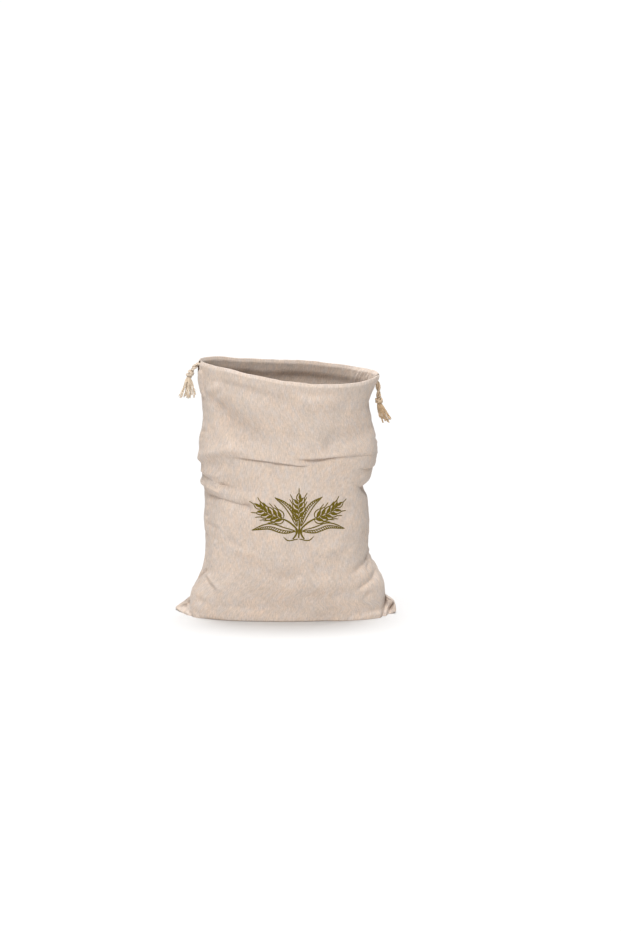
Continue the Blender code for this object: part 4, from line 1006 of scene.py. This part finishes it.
def tassel_piece(side, mat, strands=460):
    """The teased cord ends: soft strands in separate locks, of uneven length."""
    rng = np.random.default_rng(21 if side == "left" else 12)
    k, centre, up = knot_frame(side)
    f = dict(zip(TASSEL_COLUMNS, next(r for r in TASSELS if r[0] == side)))
    top = centre - up * (k["half_height"] - 0.9)
    longer, wider = (1.08, 1.36) if side == "left" else (1.17, 1.58)
    end = np.array([centre[0] + f["dx_end"] * longer, centre[1], centre[2] + f["dz_end"] * longer])
    heap = Heap()
    count = strands
    locks = 11
    place = np.linspace(-0.93, 0.93, locks) + rng.normal(0, 0.035, locks)
    lock_at = np.stack([place, rng.uniform(-0.75, 0.75, locks) * np.sqrt(1 - 0.8 * place**2)], -1)
    lock_long = np.clip(0.99 - 0.10 * np.abs(place) - 0.22 * rng.uniform(0, 1, locks) ** 1.6, 0.6, 1.0)
    lock_bend = rng.normal(0, 1.0, (locks, 2))
    lock_tone = rng.uniform(0, 500, locks)
    t = np.linspace(0, 1, 17)
    # from the knot the strands first follow the cord's own direction, then fall
    mid = top + (end - top) * t[:, None] + np.outer(np.sin(math.pi * t) * 0.5, [f["dx_top"], 0, 0])
    for i in range(count):
        lock = i % locks
        a, r = rng.uniform(0, 2 * math.pi), math.sqrt(rng.uniform(0, 1))
        inside = np.array([math.cos(a), math.sin(a)]) * r
        root = (lock_at[lock] * 0.62 + inside * 0.38) * (f["top"] - 0.4)
        goal = lock_at[lock] * np.array([f["end"] * wider - 0.4, f["through"] - 0.5])
        long = lock_long[lock] * (1 - 0.12 * rng.uniform() ** 2)
        loose = rng.uniform() < 0.10
        if loose:
            long *= rng.uniform(0.6, 0.95)
        w = ((t * long) ** 0.90)[:, None]
        flat = root * (1 - w) + goal * w
        swing = np.sin(math.pi * np.clip(t, 0, 1))[:, None] * lock_bend[lock] * 0.55
        thick = (0.92 - 0.22 * np.sin(math.pi * t) + 0.30 * t**3)[:, None] * (1.9 if loose else 1.0)
        turned = 3.2 * t + a
        bundle = np.stack([np.cos(turned), np.sin(turned)], -1) * r * thick * ease(t / 0.25)[:, None]
        frizz = rng.uniform(0.05, 0.22) * t**1.5
        phase, turns = rng.uniform(0, 2 * math.pi, 2), rng.uniform(1.2, 3.0, 2)
        flat = flat + swing + bundle + np.stack([frizz * np.sin(2 * math.pi * turns[0] * t + phase[0]), frizz * np.sin(2 * math.pi * turns[1] * t + phase[1])], -1)
        base = np.stack([np.interp(t * long, t, mid[:, c]) for c in range(3)], -1)
        line = base + flat[:, :1] * np.array([1.0, 0, 0]) + flat[:, 1:] * np.array([0, 1.0, 0])
        heap.tube(line, rng.uniform(0.15, 0.24) * np.linspace(1.1, 0.6, len(t)), 4, phase=rng.uniform(0, 1.5), start=lock_tone[lock] + rng.uniform(0, 6))
    if side == "left":
        # one thread strays from the tassel's top back towards the bag
        a = top - up * 1.5
        line = even([a, a + np.array([3.5, -1.5, -7.0]), a + np.array([8.0, -2.5, -13.0]), a + np.array([11.5, -2.0, -17.0])], 0.9)
        heap.tube(line, 0.24, 5)
    return heap.make("tassel_" + side + "_strands", mat)


# ---------------------------------------------------------------- stitches

def stitch_row(heap, wall, places, off, face, pitch=3.0, long=2.2, radius=0.19):
    """Stitches along a line of (share, height) places, on the outer face (1) or the inner one (-1)."""
    share, z = places[:, 0], places[:, 1]
    p, n = outer_face(wall, share, z, off)
    run = np.concatenate([[0], np.cumsum(np.linalg.norm(np.diff(p, axis=0), axis=1))])
    marks = np.arange(1.2, run[-1] - long - 0.4, pitch)
    at = lambda m, v: np.stack([np.interp(m, run, v[:, c]) for c in range(3)], -1)
    a, b, out = at(marks, p), at(marks + long, p), at(marks + long / 2, n)
    for i in range(len(marks)):
        heap.capsule(a[i], b[i], radius, out[i] * face, 6)


def stitches(wall, mat):
    heap = Heap()
    share = np.linspace(0.012, 0.988, 400)
    top = rim_height(wall.read(share, 330.0)[:, 2])
    row = np.stack([share, top - 36.5], -1)
    half = casing_half(36.5)
    mid = casing_mid(36.5)
    stitch_row(heap, wall, row, mid + half + 0.02, 1.0)
    stitch_row(heap, wall, row, mid - half - 0.5 - 0.60, -1.0)
    for end in (0, 1):
        left_edge = (end == 0) == (wall.which == "front")
        bottom = SLITS[0][1] if left_edge else SLITS[1][1]
        top_here = float(rim_height(wall.read(float(end), 330.0)[..., 2]))
        for inset in (5.6,):
            z = np.linspace(bottom - 1.0, top_here - 2.5, 60)
            at = inset / CUT_WIDTH
            share = np.full_like(z, at if end == 0 else 1 - at)
            s = top_here - z
            off = np.array([float(casing_mid(v) + casing_half(v)) if v < 38 else 0.0 for v in s])
            stitch_row(heap, wall, np.stack([share, z], -1), off + 0.02, 1.0, 2.9, 2.1, 0.18)
    return heap.make(wall.which + "_stitches", mat)


# ---------------------------------------------------------------- print

PRINT_SHARE, PRINT_Z = 0.508, 147.5


def ribbon(line, widths):
    """A flat stroke along a line in the print's plane, its ends rounded off by the widths."""
    line = np.asarray(line, float)
    t = np.gradient(line, axis=0)
    t /= np.maximum(np.linalg.norm(t, axis=1, keepdims=True), 1e-9)
    side = np.stack([-t[:, 1], t[:, 0]], -1)
    half = np.asarray(widths, float)[:, None] / 2
    return line + side * half, line - side * half


def curve2(points, step=1.0):
    p = np.array(points, float)
    along = np.concatenate([[0], np.cumsum(np.linalg.norm(np.diff(p, axis=0), axis=1))])
    fine = np.linspace(0, along[-1], max(8, int(along[-1] / 0.2)))
    c = np.stack([through(fine, along, p[:, k]) for k in range(2)], -1)
    run = np.concatenate([[0], np.cumsum(np.linalg.norm(np.diff(c, axis=0), axis=1))])
    marks = np.linspace(0, run[-1], max(5, int(round(run[-1] / step)) + 1))
    return np.stack([np.interp(marks, run, c[:, k]) for k in range(2)], -1)


def pen(count, width, start=0.35, end=0.35):
    """Stroke widths of a pen line, thinner at its ends."""
    t = np.linspace(0, 1, count)
    return width * (start + (1 - start) * ease(t / 0.22)) * (end + (1 - end) * ease((1 - t) / 0.22))


def kernel(at, way, long, wide, shade, line=1.55):
    """One grain: an outline of pen lines and a solid shadow along one side."""
    way = np.asarray(way, float) / np.hypot(*way)
    side = np.array([-way[1], way[0]])
    t = np.linspace(0, 1, 17)
    body = wide / 2 * np.sin(math.pi * t**0.85) ** 0.8
    axis = at + np.outer(t * long, way)
    one, two = axis + np.outer(body, side), axis - np.outer(body, side)
    strokes = [(one, pen(len(t), line, 0.7, 0.7)), (two, pen(len(t), line, 0.7, 0.7))]
    # the shadow fills a crescent between one side and a line inside the grain
    inner = axis - shade * np.outer(body * (1 - 1.15 * np.sin(math.pi * t) ** 0.7), side)
    rim = axis - shade * np.outer(body, side)
    fill = ((inner + rim) / 2, np.maximum(np.linalg.norm(rim - inner, axis=1), 0.05))
    return strokes, fill


def ear_of_wheat(line, flip, head, grains, long=13.0, wide=6.8):
    """The strokes of one ear on its stalk, drawn along a line, the ear at its end."""
    strokes, fills = [], []
    run = np.concatenate([[0], np.cumsum(np.linalg.norm(np.diff(line, axis=0), axis=1))])
    at = lambda d: np.array([np.interp(d, run, line[:, 0]), np.interp(d, run, line[:, 1])])
    way = lambda d: (at(d + 0.5) - at(d - 0.5)) / np.linalg.norm(at(d + 0.5) - at(d - 0.5))
    total = run[-1]
    start_at = total - head
    stem = np.array([at(d) for d in np.arange(0, start_at + 2, 1.0)])
    strokes.append((stem, pen(len(stem), 2.3, 0.8, 0.8)))
    for i in range(grains + 1):
        d = start_at + i * head / (grains + 0.6)
        w = way(min(d, total - 0.6))
        n = np.array([-w[1], w[0]])
        small = 1 - 0.035 * i
        for s in (1.0, -1.0):
            if i == grains and s < 0:
                continue
            spread = 0.0 if i == grains else 0.66 * s
            direction = w * math.cos(spread) + n * math.sin(spread)
            start = at(min(d, total)) + (n * s * 1.2 + (w * 2.2 if s * flip < 0 else 0.0)) * (0 if i == grains else 1)
            k, fill = kernel(start, direction, long * small, wide * small, flip if i == grains else s * 1.0)
            strokes += k
            fills.append(fill)
            tip = start + direction * long * small * 0.97
            awn_way = w * math.cos(spread * 0.62) + n * math.sin(spread * 0.62)
            reach = 8.5 * small
            awn = curve2([tip, tip + awn_way * reach * 0.5 + n * s * 0.2, tip + awn_way * reach + n * s * 0.7])
            strokes.append((awn, pen(len(awn), 1.25, 0.9, 0.45)))
    return strokes, fills


def leaf(points, wide, side):
    """A long leaf: two edges, a rib and a few hatches on one half."""
    axis = curve2(points)
    t = np.linspace(0, 1, len(axis))
    body = wide / 2 * np.sin(math.pi * np.clip(t, 0, 1) ** 0.8) ** 0.9
    tan = np.gradient(axis, axis=0)
    tan /= np.linalg.norm(tan, axis=1, keepdims=True)
    n = np.stack([-tan[:, 1], tan[:, 0]], -1)
    strokes = [(axis + n * body[:, None], pen(len(axis), 1.6, 0.7, 0.5)), (axis - n * body[:, None], pen(len(axis), 1.6, 0.7, 0.5)), (axis, pen(len(axis), 1.2, 0.9, 0.3))]
    for i in range(6, len(axis) - 6, 3):
        a = axis[i] + n[i] * body[i] * 0.12 * side
        b = axis[i] + n[i] * body[i] * 0.90 * side + tan[i] * 2.2
        hatch = curve2([a, b], 0.6)
        strokes.append((hatch, pen(len(hatch), 1.15, 0.9, 0.6)))
    return strokes


def print_piece(wall, mat):
    """A generic drawing of two crossed ears of wheat with leaves, printed on the front panel."""
    strokes, fills = [], []
    # the ear in the middle
    k, f = ear_of_wheat(curve2([(0.0, -30.0), (0.4, -16.0), (0.0, -4.0), (-0.4, 12.0), (0.0, 24.0)], 0.8), 1.0, 30.0, 4, 11.5, 6.4)
    strokes += k
    fills += f
    for flip in (1.0, -1.0):
        way = np.array([flip, 1.0])
        # an ear that leans out to the side, and its stalk below the tie
        stalk = np.array([(7.5, -31.5), (3.4, -25.0), (2.6, -19.5), (10.0, -10.5), (25.0, -2.5), (41.0, 3.5), (53.5, 11.5)]) * way
        k, f = ear_of_wheat(curve2(stalk, 0.8), -flip, 38.0, 5)
        strokes += k
        fills += f
        strokes += leaf(np.array([(4.5, -20.5), (20.0, -19.5), (38.0, -14.5), (61.0, -20.0)]) * way, 8.4, -flip)
        strokes += leaf(np.array([(2.4, -14.0), (8.5, 2.0), (17.5, 14.5), (31.0, 24.5)]) * way, 7.0, flip)
        strokes.append((curve2(np.array([(1.0, -31.5), (14.5, -33.0), (20.0, -28.0)]) * way), pen(len(curve2(np.array([(1.0, -31.5), (14.5, -33.0), (20.0, -28.0)]) * way)), 1.5, 0.8, 0.4)))
    # the band that ties the stalks
    for rise in (-22.6, -20.6, -18.6):
        band = curve2([(-4.6, rise + 0.5), (0.0, rise - 0.6), (4.6, rise + 0.5)], 0.7)
        strokes.append((band, pen(len(band), 1.6, 0.8, 0.8)))
    points, faces, uv, count = [], [], [], 0
    x_ref = wall.read(np.linspace(0.2, 0.85, 131), PRINT_Z)
    run = np.concatenate([[0], np.cumsum(np.hypot(*np.diff(x_ref[:, :2], axis=0).T))])
    zero = np.interp(PRINT_SHARE, np.linspace(0.2, 0.85, 131), run)
    for i, (line, widths) in enumerate(strokes + fills):
        one, two = ribbon(line, widths)
        mid = (one + two) / 2
        rows = [one, mid, two]
        lift = 0.14 + 0.006 * (i % 9)
        m = len(line)
        for q in rows:
            share = np.interp(q[:, 0] + zero, run, np.linspace(0.2, 0.85, 131))
            p, n = outer_face(wall, share, PRINT_Z + q[:, 1], lift)
            points.append(p)
            uv.append(np.stack([share * CUT_WIDTH * MM, (PRINT_Z + q[:, 1]) * MM + 0.06], -1))
        for r in range(2):
            for j in range(m - 1):
                a = count + r * m + j
                faces.append((a, a + m, a + m + 1, a + 1))
        count += 3 * m
    return new_mesh("front_print", np.concatenate(points), faces, [mat], {"cloth": np.concatenate(uv)})


# ---------------------------------------------------------------- materials

class Nodes:
    """A short way to wire a material's nodes."""

    def __init__(self, name):
        self.material = bpy.data.materials.new(name)
        self.material.use_nodes = True
        self.tree = self.material.node_tree
        self.shader = self.tree.nodes["Principled BSDF"]

    def node(self, kind, **settings):
        n = self.tree.nodes.new(kind)
        for key, value in settings.items():
            setattr(n, key, value)
        return n

    def put(self, socket, value):
        if isinstance(value, bpy.types.NodeSocket):
            self.tree.links.new(value, socket)
        else:
            socket.default_value = value

    def sum(self, kind, a, b=None, c=None, clamp=False):
        n = self.node("ShaderNodeMath", operation=kind, use_clamp=clamp)
        for socket, value in zip(n.inputs, (a, b, c)):
            if value is not None:
                self.put(socket, value)
        return n.outputs[0]

    def mix(self, share, a, b, kind="MIX"):
        n = self.node("ShaderNodeMix", data_type="RGBA", blend_type=kind)
        self.put(n.inputs[0], share)
        self.put(n.inputs[6], a)
        self.put(n.inputs[7], b)
        return n.outputs[2]

    def span(self, value, low, high, to_low=0.0, to_high=1.0, kind="LINEAR"):
        n = self.node("ShaderNodeMapRange", interpolation_type=kind)
        for socket, v in zip(n.inputs, (value, low, high, to_low, to_high)):
            self.put(socket, v)
        return n.outputs[0]

    def xy(self, layer):
        uv = self.node("ShaderNodeUVMap", uv_map=layer)
        parts = self.node("ShaderNodeSeparateXYZ")
        self.tree.links.new(uv.outputs[0], parts.inputs[0])
        return uv.outputs[0], parts.outputs[0], parts.outputs[1]

    def noise(self, vector, scale, detail=3.0, rough=0.55, stretch=(1.0, 1.0, 1.0), turn=0.0, warp=0.0):
        m = self.node("ShaderNodeMapping")
        self.put(m.inputs[0], vector)
        m.inputs[2].default_value = (0.0, 0.0, turn)
        m.inputs[3].default_value = stretch
        n = self.node("ShaderNodeTexNoise")
        self.tree.links.new(m.outputs[0], n.inputs["Vector"])
        n.inputs["Scale"].default_value = scale
        n.inputs["Detail"].default_value = detail
        n.inputs["Roughness"].default_value = rough
        n.inputs["Distortion"].default_value = warp
        return n.outputs[0]

    def bump(self, height, distance, strength=1.0, normal=None):
        n = self.node("ShaderNodeBump")
        n.inputs["Strength"].default_value = strength
        n.inputs["Distance"].default_value = distance
        self.put(n.inputs["Height"], height)
        if normal is not None:
            self.put(n.inputs["Normal"], normal)
        return n.outputs[0]


def weave(k, u, v, pitch):
    """The height of a plain weave, 0 to 1, threads a pitch apart."""
    a = k.sum("SINE", k.sum("MULTIPLY", u, math.pi / pitch))
    b = k.sum("SINE", k.sum("MULTIPLY", v, math.pi / pitch))
    over = k.sum("MULTIPLY", k.sum("SIGN", a), b)
    under = k.sum("MULTIPLY", k.sum("SIGN", b), a)
    warp = k.sum("MULTIPLY", k.sum("POWER", k.sum("ABSOLUTE", a), 0.6), k.sum("MULTIPLY_ADD", over, 0.42, 0.58))
    weft = k.sum("MULTIPLY", k.sum("POWER", k.sum("ABSOLUTE", b), 0.6), k.sum("MULTIPLY_ADD", under, -0.42, 0.58))
    return k.sum("MAXIMUM", warp, weft)


def cloth_tone(k, uv, u, v):
    """The linen's colour: flax with slubs along both thread ways, and soft uneven patches."""
    slub = k.noise(uv, 1.0, 4.0, 0.62, (620.0, 110.0, 1.0))
    streak = k.noise(uv, 1.0, 3.0, 0.6, (330.0, 60.0, 1.0))
    fine = k.noise(uv, 1.0, 2.0, 0.6, (1250.0, 190.0, 1.0))
    cross = k.noise(uv, 1.0, 3.0, 0.6, (210.0, 820.0, 1.0))
    patch = k.noise(uv, 62.0, 3.0, 0.6, (1.0, 0.62, 1.0), warp=0.5)
    wide = k.noise(uv, 17.0, 2.0, 0.5)
    tint = k.noise(uv, 1.0, 3.0, 0.6, (150.0, 80.0, 1.0), turn=0.05)
    tone = k.sum("MULTIPLY_ADD", k.span(slub, 0.30, 0.70, -1.0, 1.0), 0.095, 1.0)
    tone = k.sum("MULTIPLY_ADD", k.span(streak, 0.32, 0.68, -1.0, 1.0), 0.022, tone)
    tone = k.sum("MULTIPLY_ADD", k.span(fine, 0.30, 0.70, -1.0, 1.0), 0.150, tone)
    tone = k.sum("MULTIPLY_ADD", k.span(cross, 0.30, 0.70, -1.0, 1.0), 0.050, tone)
    tone = k.sum("MULTIPLY_ADD", k.span(patch, 0.30, 0.70, -1.0, 1.0), 0.030, tone)
    flax = k.mix(k.span(wide, 0.36, 0.64, 0.0, 1.0), (0.585, 0.488, 0.412, 1.0), (0.590, 0.478, 0.392, 1.0))
    flax = k.mix(k.span(patch, 0.40, 0.68, 0.0, 0.60), flax, (0.630, 0.492, 0.390, 1.0))
    flax = k.mix(k.span(tint, 0.42, 0.68, 0.0, 0.80), flax, (0.560, 0.492, 0.450, 1.0))
    return flax, tone, slub


def grey(k, value):
    n = k.node("ShaderNodeCombineColor")
    for socket in n.inputs:
        if socket.enabled:
            k.put(socket, value)
    return n.outputs[0]


def linen():
    k = Nodes("linen_cloth")
    uv, u, v = k.xy("cloth")
    flax, tone, slub = cloth_tone(k, uv, u, v)
    threads = weave(k, u, v, 0.00050)
    # the gaps between the threads are painted a little darker, as painted shade in the weave
    tone = k.sum("MULTIPLY", tone, k.sum("MULTIPLY_ADD", threads, 0.13, 0.92))
    # paler cloth along the folded rim, the slit edges and the seams: partly soft wear, partly a painted highlight on
    # the turned edges
    _, rim, edge = k.xy("wear")
    near_rim = k.span(rim, 0.0, 0.0030, 1.0, 0.0, "SMOOTHSTEP")
    near_edge = k.span(edge, 0.0, 0.0022, 1.0, 0.0, "SMOOTHSTEP")
    rub = k.noise(uv, 210.0, 3.0, 0.6)
    worn = k.sum("MULTIPLY", k.sum("MAXIMUM", near_rim, near_edge), k.span(rub, 0.35, 0.65, 0.35, 1.0))
    colour = k.mix(1.0, flax, grey(k, tone), "MULTIPLY")
    colour = k.mix(k.sum("MULTIPLY", worn, 0.40), colour, (0.735, 0.640, 0.560, 1.0))
    k.put(k.shader.inputs["Base Color"], colour)
    k.shader.inputs["Roughness"].default_value = 0.92
    k.shader.inputs["Sheen Weight"].default_value = 0.18
    k.shader.inputs["Sheen Roughness"].default_value = 0.45
    k.shader.inputs["Specular IOR Level"].default_value = 0.22
    crumple = k.bump(k.noise(uv, 120.0, 4.0, 0.6, warp=0.5), 0.0009, 0.55)
    slubs = k.bump(slub, 0.00022, 0.5, crumple)
    k.put(k.shader.inputs["Normal"], k.bump(threads, 0.00016, 0.65, slubs))
    return k.material


def olive_print():
    k = Nodes("olive_print")
    uv, u, v = k.xy("cloth")
    threads = weave(k, u, v, 0.00050)
    worn = k.noise(uv, 420.0, 4.0, 0.65)
    slub = k.noise(uv, 1.0, 4.0, 0.62, (720.0, 24.0, 1.0))
    ink = k.mix(k.span(worn, 0.35, 0.65, 0.0, 1.0), (0.105, 0.075, 0.0030, 1.0), (0.150, 0.108, 0.0080, 1.0))
    thin = k.sum("MULTIPLY", k.span(threads, 0.35, 0.12, 0.0, 1.0), k.span(slub, 0.42, 0.62, 0.0, 0.35))
    k.put(k.shader.inputs["Base Color"], k.mix(thin, ink, (0.42, 0.34, 0.21, 1.0)))
    k.shader.inputs["Roughness"].default_value = 0.86
    k.shader.inputs["Specular IOR Level"].default_value = 0.25
    slubs = k.bump(slub, 0.0004, 0.5)
    k.put(k.shader.inputs["Normal"], k.bump(threads, 0.00016, 0.65, slubs))
    return k.material


def yarn(name, pale, deep, twist=2600.0, rough=0.9, uneven=(0.93, 1.05)):
    """Cotton yarn: fibres laid at a slant along each ply."""
    k = Nodes(name)
    uv, u, v = k.xy("cloth")
    slant = k.noise(uv, 1.0, 3.0, 0.6, (900.0, 260.0, 1.0), turn=0.45)
    fibre = k.sum("SINE", k.sum("ADD", k.sum("MULTIPLY", v, twist), k.sum("MULTIPLY", u, 2400.0)))
    along = k.noise(uv, 1.0, 2.0, 0.5, (20.0, 95.0, 1.0))
    share = k.sum("MULTIPLY_ADD", fibre, 0.14, k.span(slant, 0.3, 0.7, 0.1, 0.9), clamp=True)
    colour = k.mix(share, deep, pale)
    colour = k.mix(1.0, colour, grey(k, k.span(along, 0.3, 0.7, *uneven)), "MULTIPLY")
    k.put(k.shader.inputs["Base Color"], colour)
    k.shader.inputs["Roughness"].default_value = rough
    k.shader.inputs["Sheen Weight"].default_value = 0.25
    k.shader.inputs["Sheen Roughness"].default_value = 0.5
    k.shader.inputs["Specular IOR Level"].default_value = 0.2
    height = k.sum("MULTIPLY_ADD", fibre, 0.25, slant)
    k.put(k.shader.inputs["Normal"], k.bump(height, 0.00018, 0.7))
    return k.material


def plaster(name):
    k = Nodes(name)
    where = k.node("ShaderNodeTexCoord").outputs["Object"]
    grain = k.noise(where, 60.0, 4.0, 0.6)
    k.put(k.shader.inputs["Base Color"], k.mix(grain, (0.925, 0.925, 0.925, 1.0), (0.935, 0.935, 0.935, 1.0)))
    k.shader.inputs["Roughness"].default_value = 0.85
    k.shader.inputs["Specular IOR Level"].default_value = 0.1
    return k.material


# ---------------------------------------------------------------- the bag

cloth = linen()
ink = olive_print()
thread = yarn("sewing_thread", (0.660, 0.565, 0.485, 1.0), (0.540, 0.450, 0.370, 1.0), 5200.0)
cotton = {
    "left": yarn("cotton_cord_left", (0.800, 0.695, 0.580, 1.0), (0.560, 0.435, 0.320, 1.0)),
    "right": yarn("cotton_cord_right", (0.780, 0.620, 0.450, 1.0), (0.500, 0.360, 0.230, 1.0)),
}
fringe = {
    "left": yarn("cotton_strands_left", (1.000, 0.885, 0.740, 1.0), (0.860, 0.670, 0.460, 1.0), 3200.0, uneven=(0.78, 1.08)),
    "right": yarn("cotton_strands_right", (0.980, 0.755, 0.500, 1.0), (0.600, 0.380, 0.190, 1.0), 3200.0, uneven=(0.62, 1.12)),
}

walls = {which: Wall(which) for which in ("front", "back")}
panels = {which: panel(which, walls[which], cloth) for which in walls}
sewing = {which: stitches(walls[which], thread) for which in walls}
front_print = print_piece(walls["front"], ink)

for which, obj in panels.items():
    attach(obj, "root")
    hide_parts(which + "_panel")
    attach(sewing[which], "root")
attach(front_print, "root")

for side in ("left", "right"):
    line, path, length, gather = cord_piece(side, walls["front"], walls["back"], cotton[side])
    tied = knot_piece(side, cotton[side])
    brush = tassel_piece(side, fringe[side])
    for obj, node, slot in ((line, "cord_", "cord"), (tied, "knot_", "cord"), (brush, "tassel_", "tassel")):
        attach(obj, "root")
        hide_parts(node + side)


# ---------------------------------------------------------------- floor, light and camera

floor_mesh = bpy.data.meshes.new("floor")
side = 60.0
floor_mesh.from_pydata([(-side, -side, 0), (side, -side, 0), (side, side, 0), (-side, side, 0)], [], [(0, 1, 2, 3)])
floor_mesh.materials.append(plaster("pale_floor"))
floor = bpy.data.objects.new("floor", floor_mesh)
bpy.context.scene.collection.objects.link(floor)
floor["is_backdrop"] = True

world = bpy.data.worlds.new("soft_room")
bpy.context.scene.world = world
world.use_nodes = True
background = world.node_tree.nodes["Background"]
background.inputs["Color"].default_value = (1.0, 1.0, 1.0, 1.0)
background.inputs["Strength"].default_value = 0.25


def sun(name, towards, strength, angle, colour=(1.0, 1.0, 1.0)):
    """A soft far light that comes from the direction towards."""
    data = bpy.data.lights.new(name, "SUN")
    data.energy, data.angle, data.color = strength, angle, colour
    obj = bpy.data.objects.new(name, data)
    obj.rotation_euler = Vector(towards).to_track_quat("Z", "Y").to_euler()
    bpy.context.scene.collection.objects.link(obj)
    return obj


def direction(azimuth, elevation):
    """The direction of a light that stands at that azimuth, 0 in front and positive to the right, and that elevation."""
    a, e = math.radians(azimuth), math.radians(elevation)
    return (math.sin(a) * math.cos(e), -math.cos(a) * math.cos(e), math.sin(e))


sun("top_back", direction(176.0, 82.0), 1.60, 0.36)
sun("top", direction(-30.0, 84.0), 1.24, 0.80)
key = sun("key", direction(-12.0, 50.0), 1.90, 0.36)
# a broad low panel in front of the bag lifts the lower part of the cloth
panel_data = bpy.data.lights.new("low_panel", "AREA")
panel_data.shape, panel_data.size, panel_data.size_y, panel_data.energy = "RECTANGLE", 0.70, 0.08, 0.46
low_panel = bpy.data.objects.new("low_panel", panel_data)
low_panel.location = (-0.04, -0.48, 0.03)
low_panel.rotation_euler = Vector((-0.04, -0.42, 0.0)).to_track_quat("Z", "Y").to_euler()
low_panel.visible_camera = False
bpy.context.scene.collection.objects.link(low_panel)
# both are flagged off the floor, which stays evenly pale
lit = bpy.data.collections.new("lit_by_key")
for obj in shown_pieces():
    lit.objects.link(obj)
key.light_linking.receiver_collection = lit
low_panel.light_linking.receiver_collection = lit

ELEVATION, DISTANCE, FOCUS, WIDE, HIGH = math.radians(12.0), 4.0, 3000.0, 621.0, 931.0
ORIGIN_PIXEL = (286.0, 612.1)
ahead = Vector((0.0, math.cos(ELEVATION), -math.sin(ELEVATION)))
upward = Vector((0.0, math.sin(ELEVATION), math.cos(ELEVATION)))
across = Vector((1.0, 0.0, 0.0))
place = -DISTANCE * ahead - across * ((ORIGIN_PIXEL[0] - WIDE / 2) * DISTANCE / FOCUS) + upward * ((ORIGIN_PIXEL[1] - HIGH / 2) * DISTANCE / FOCUS)
place = place - Vector((MIDDLE[0] * MM, MIDDLE[1] * MM, 0.0))
data = bpy.data.cameras.new("camera")
data.sensor_fit = "VERTICAL"
data.sensor_height = 36.0
data.lens = FOCUS * 36.0 / HIGH
data.clip_start, data.clip_end = 0.05, 300.0
camera = bpy.data.objects.new("camera", data)
camera.matrix_world = Matrix.Translation(place) @ Matrix((across, upward, -ahead)).transposed().to_4x4()
bpy.context.scene.collection.objects.link(camera)
bpy.context.scene.camera = camera

bpy.context.scene.view_settings.view_transform = "Standard"
bpy.context.scene.view_settings.look = "None"
bpy.context.scene.view_settings.exposure = 0.0
bpy.context.scene.view_settings.gamma = 1.0
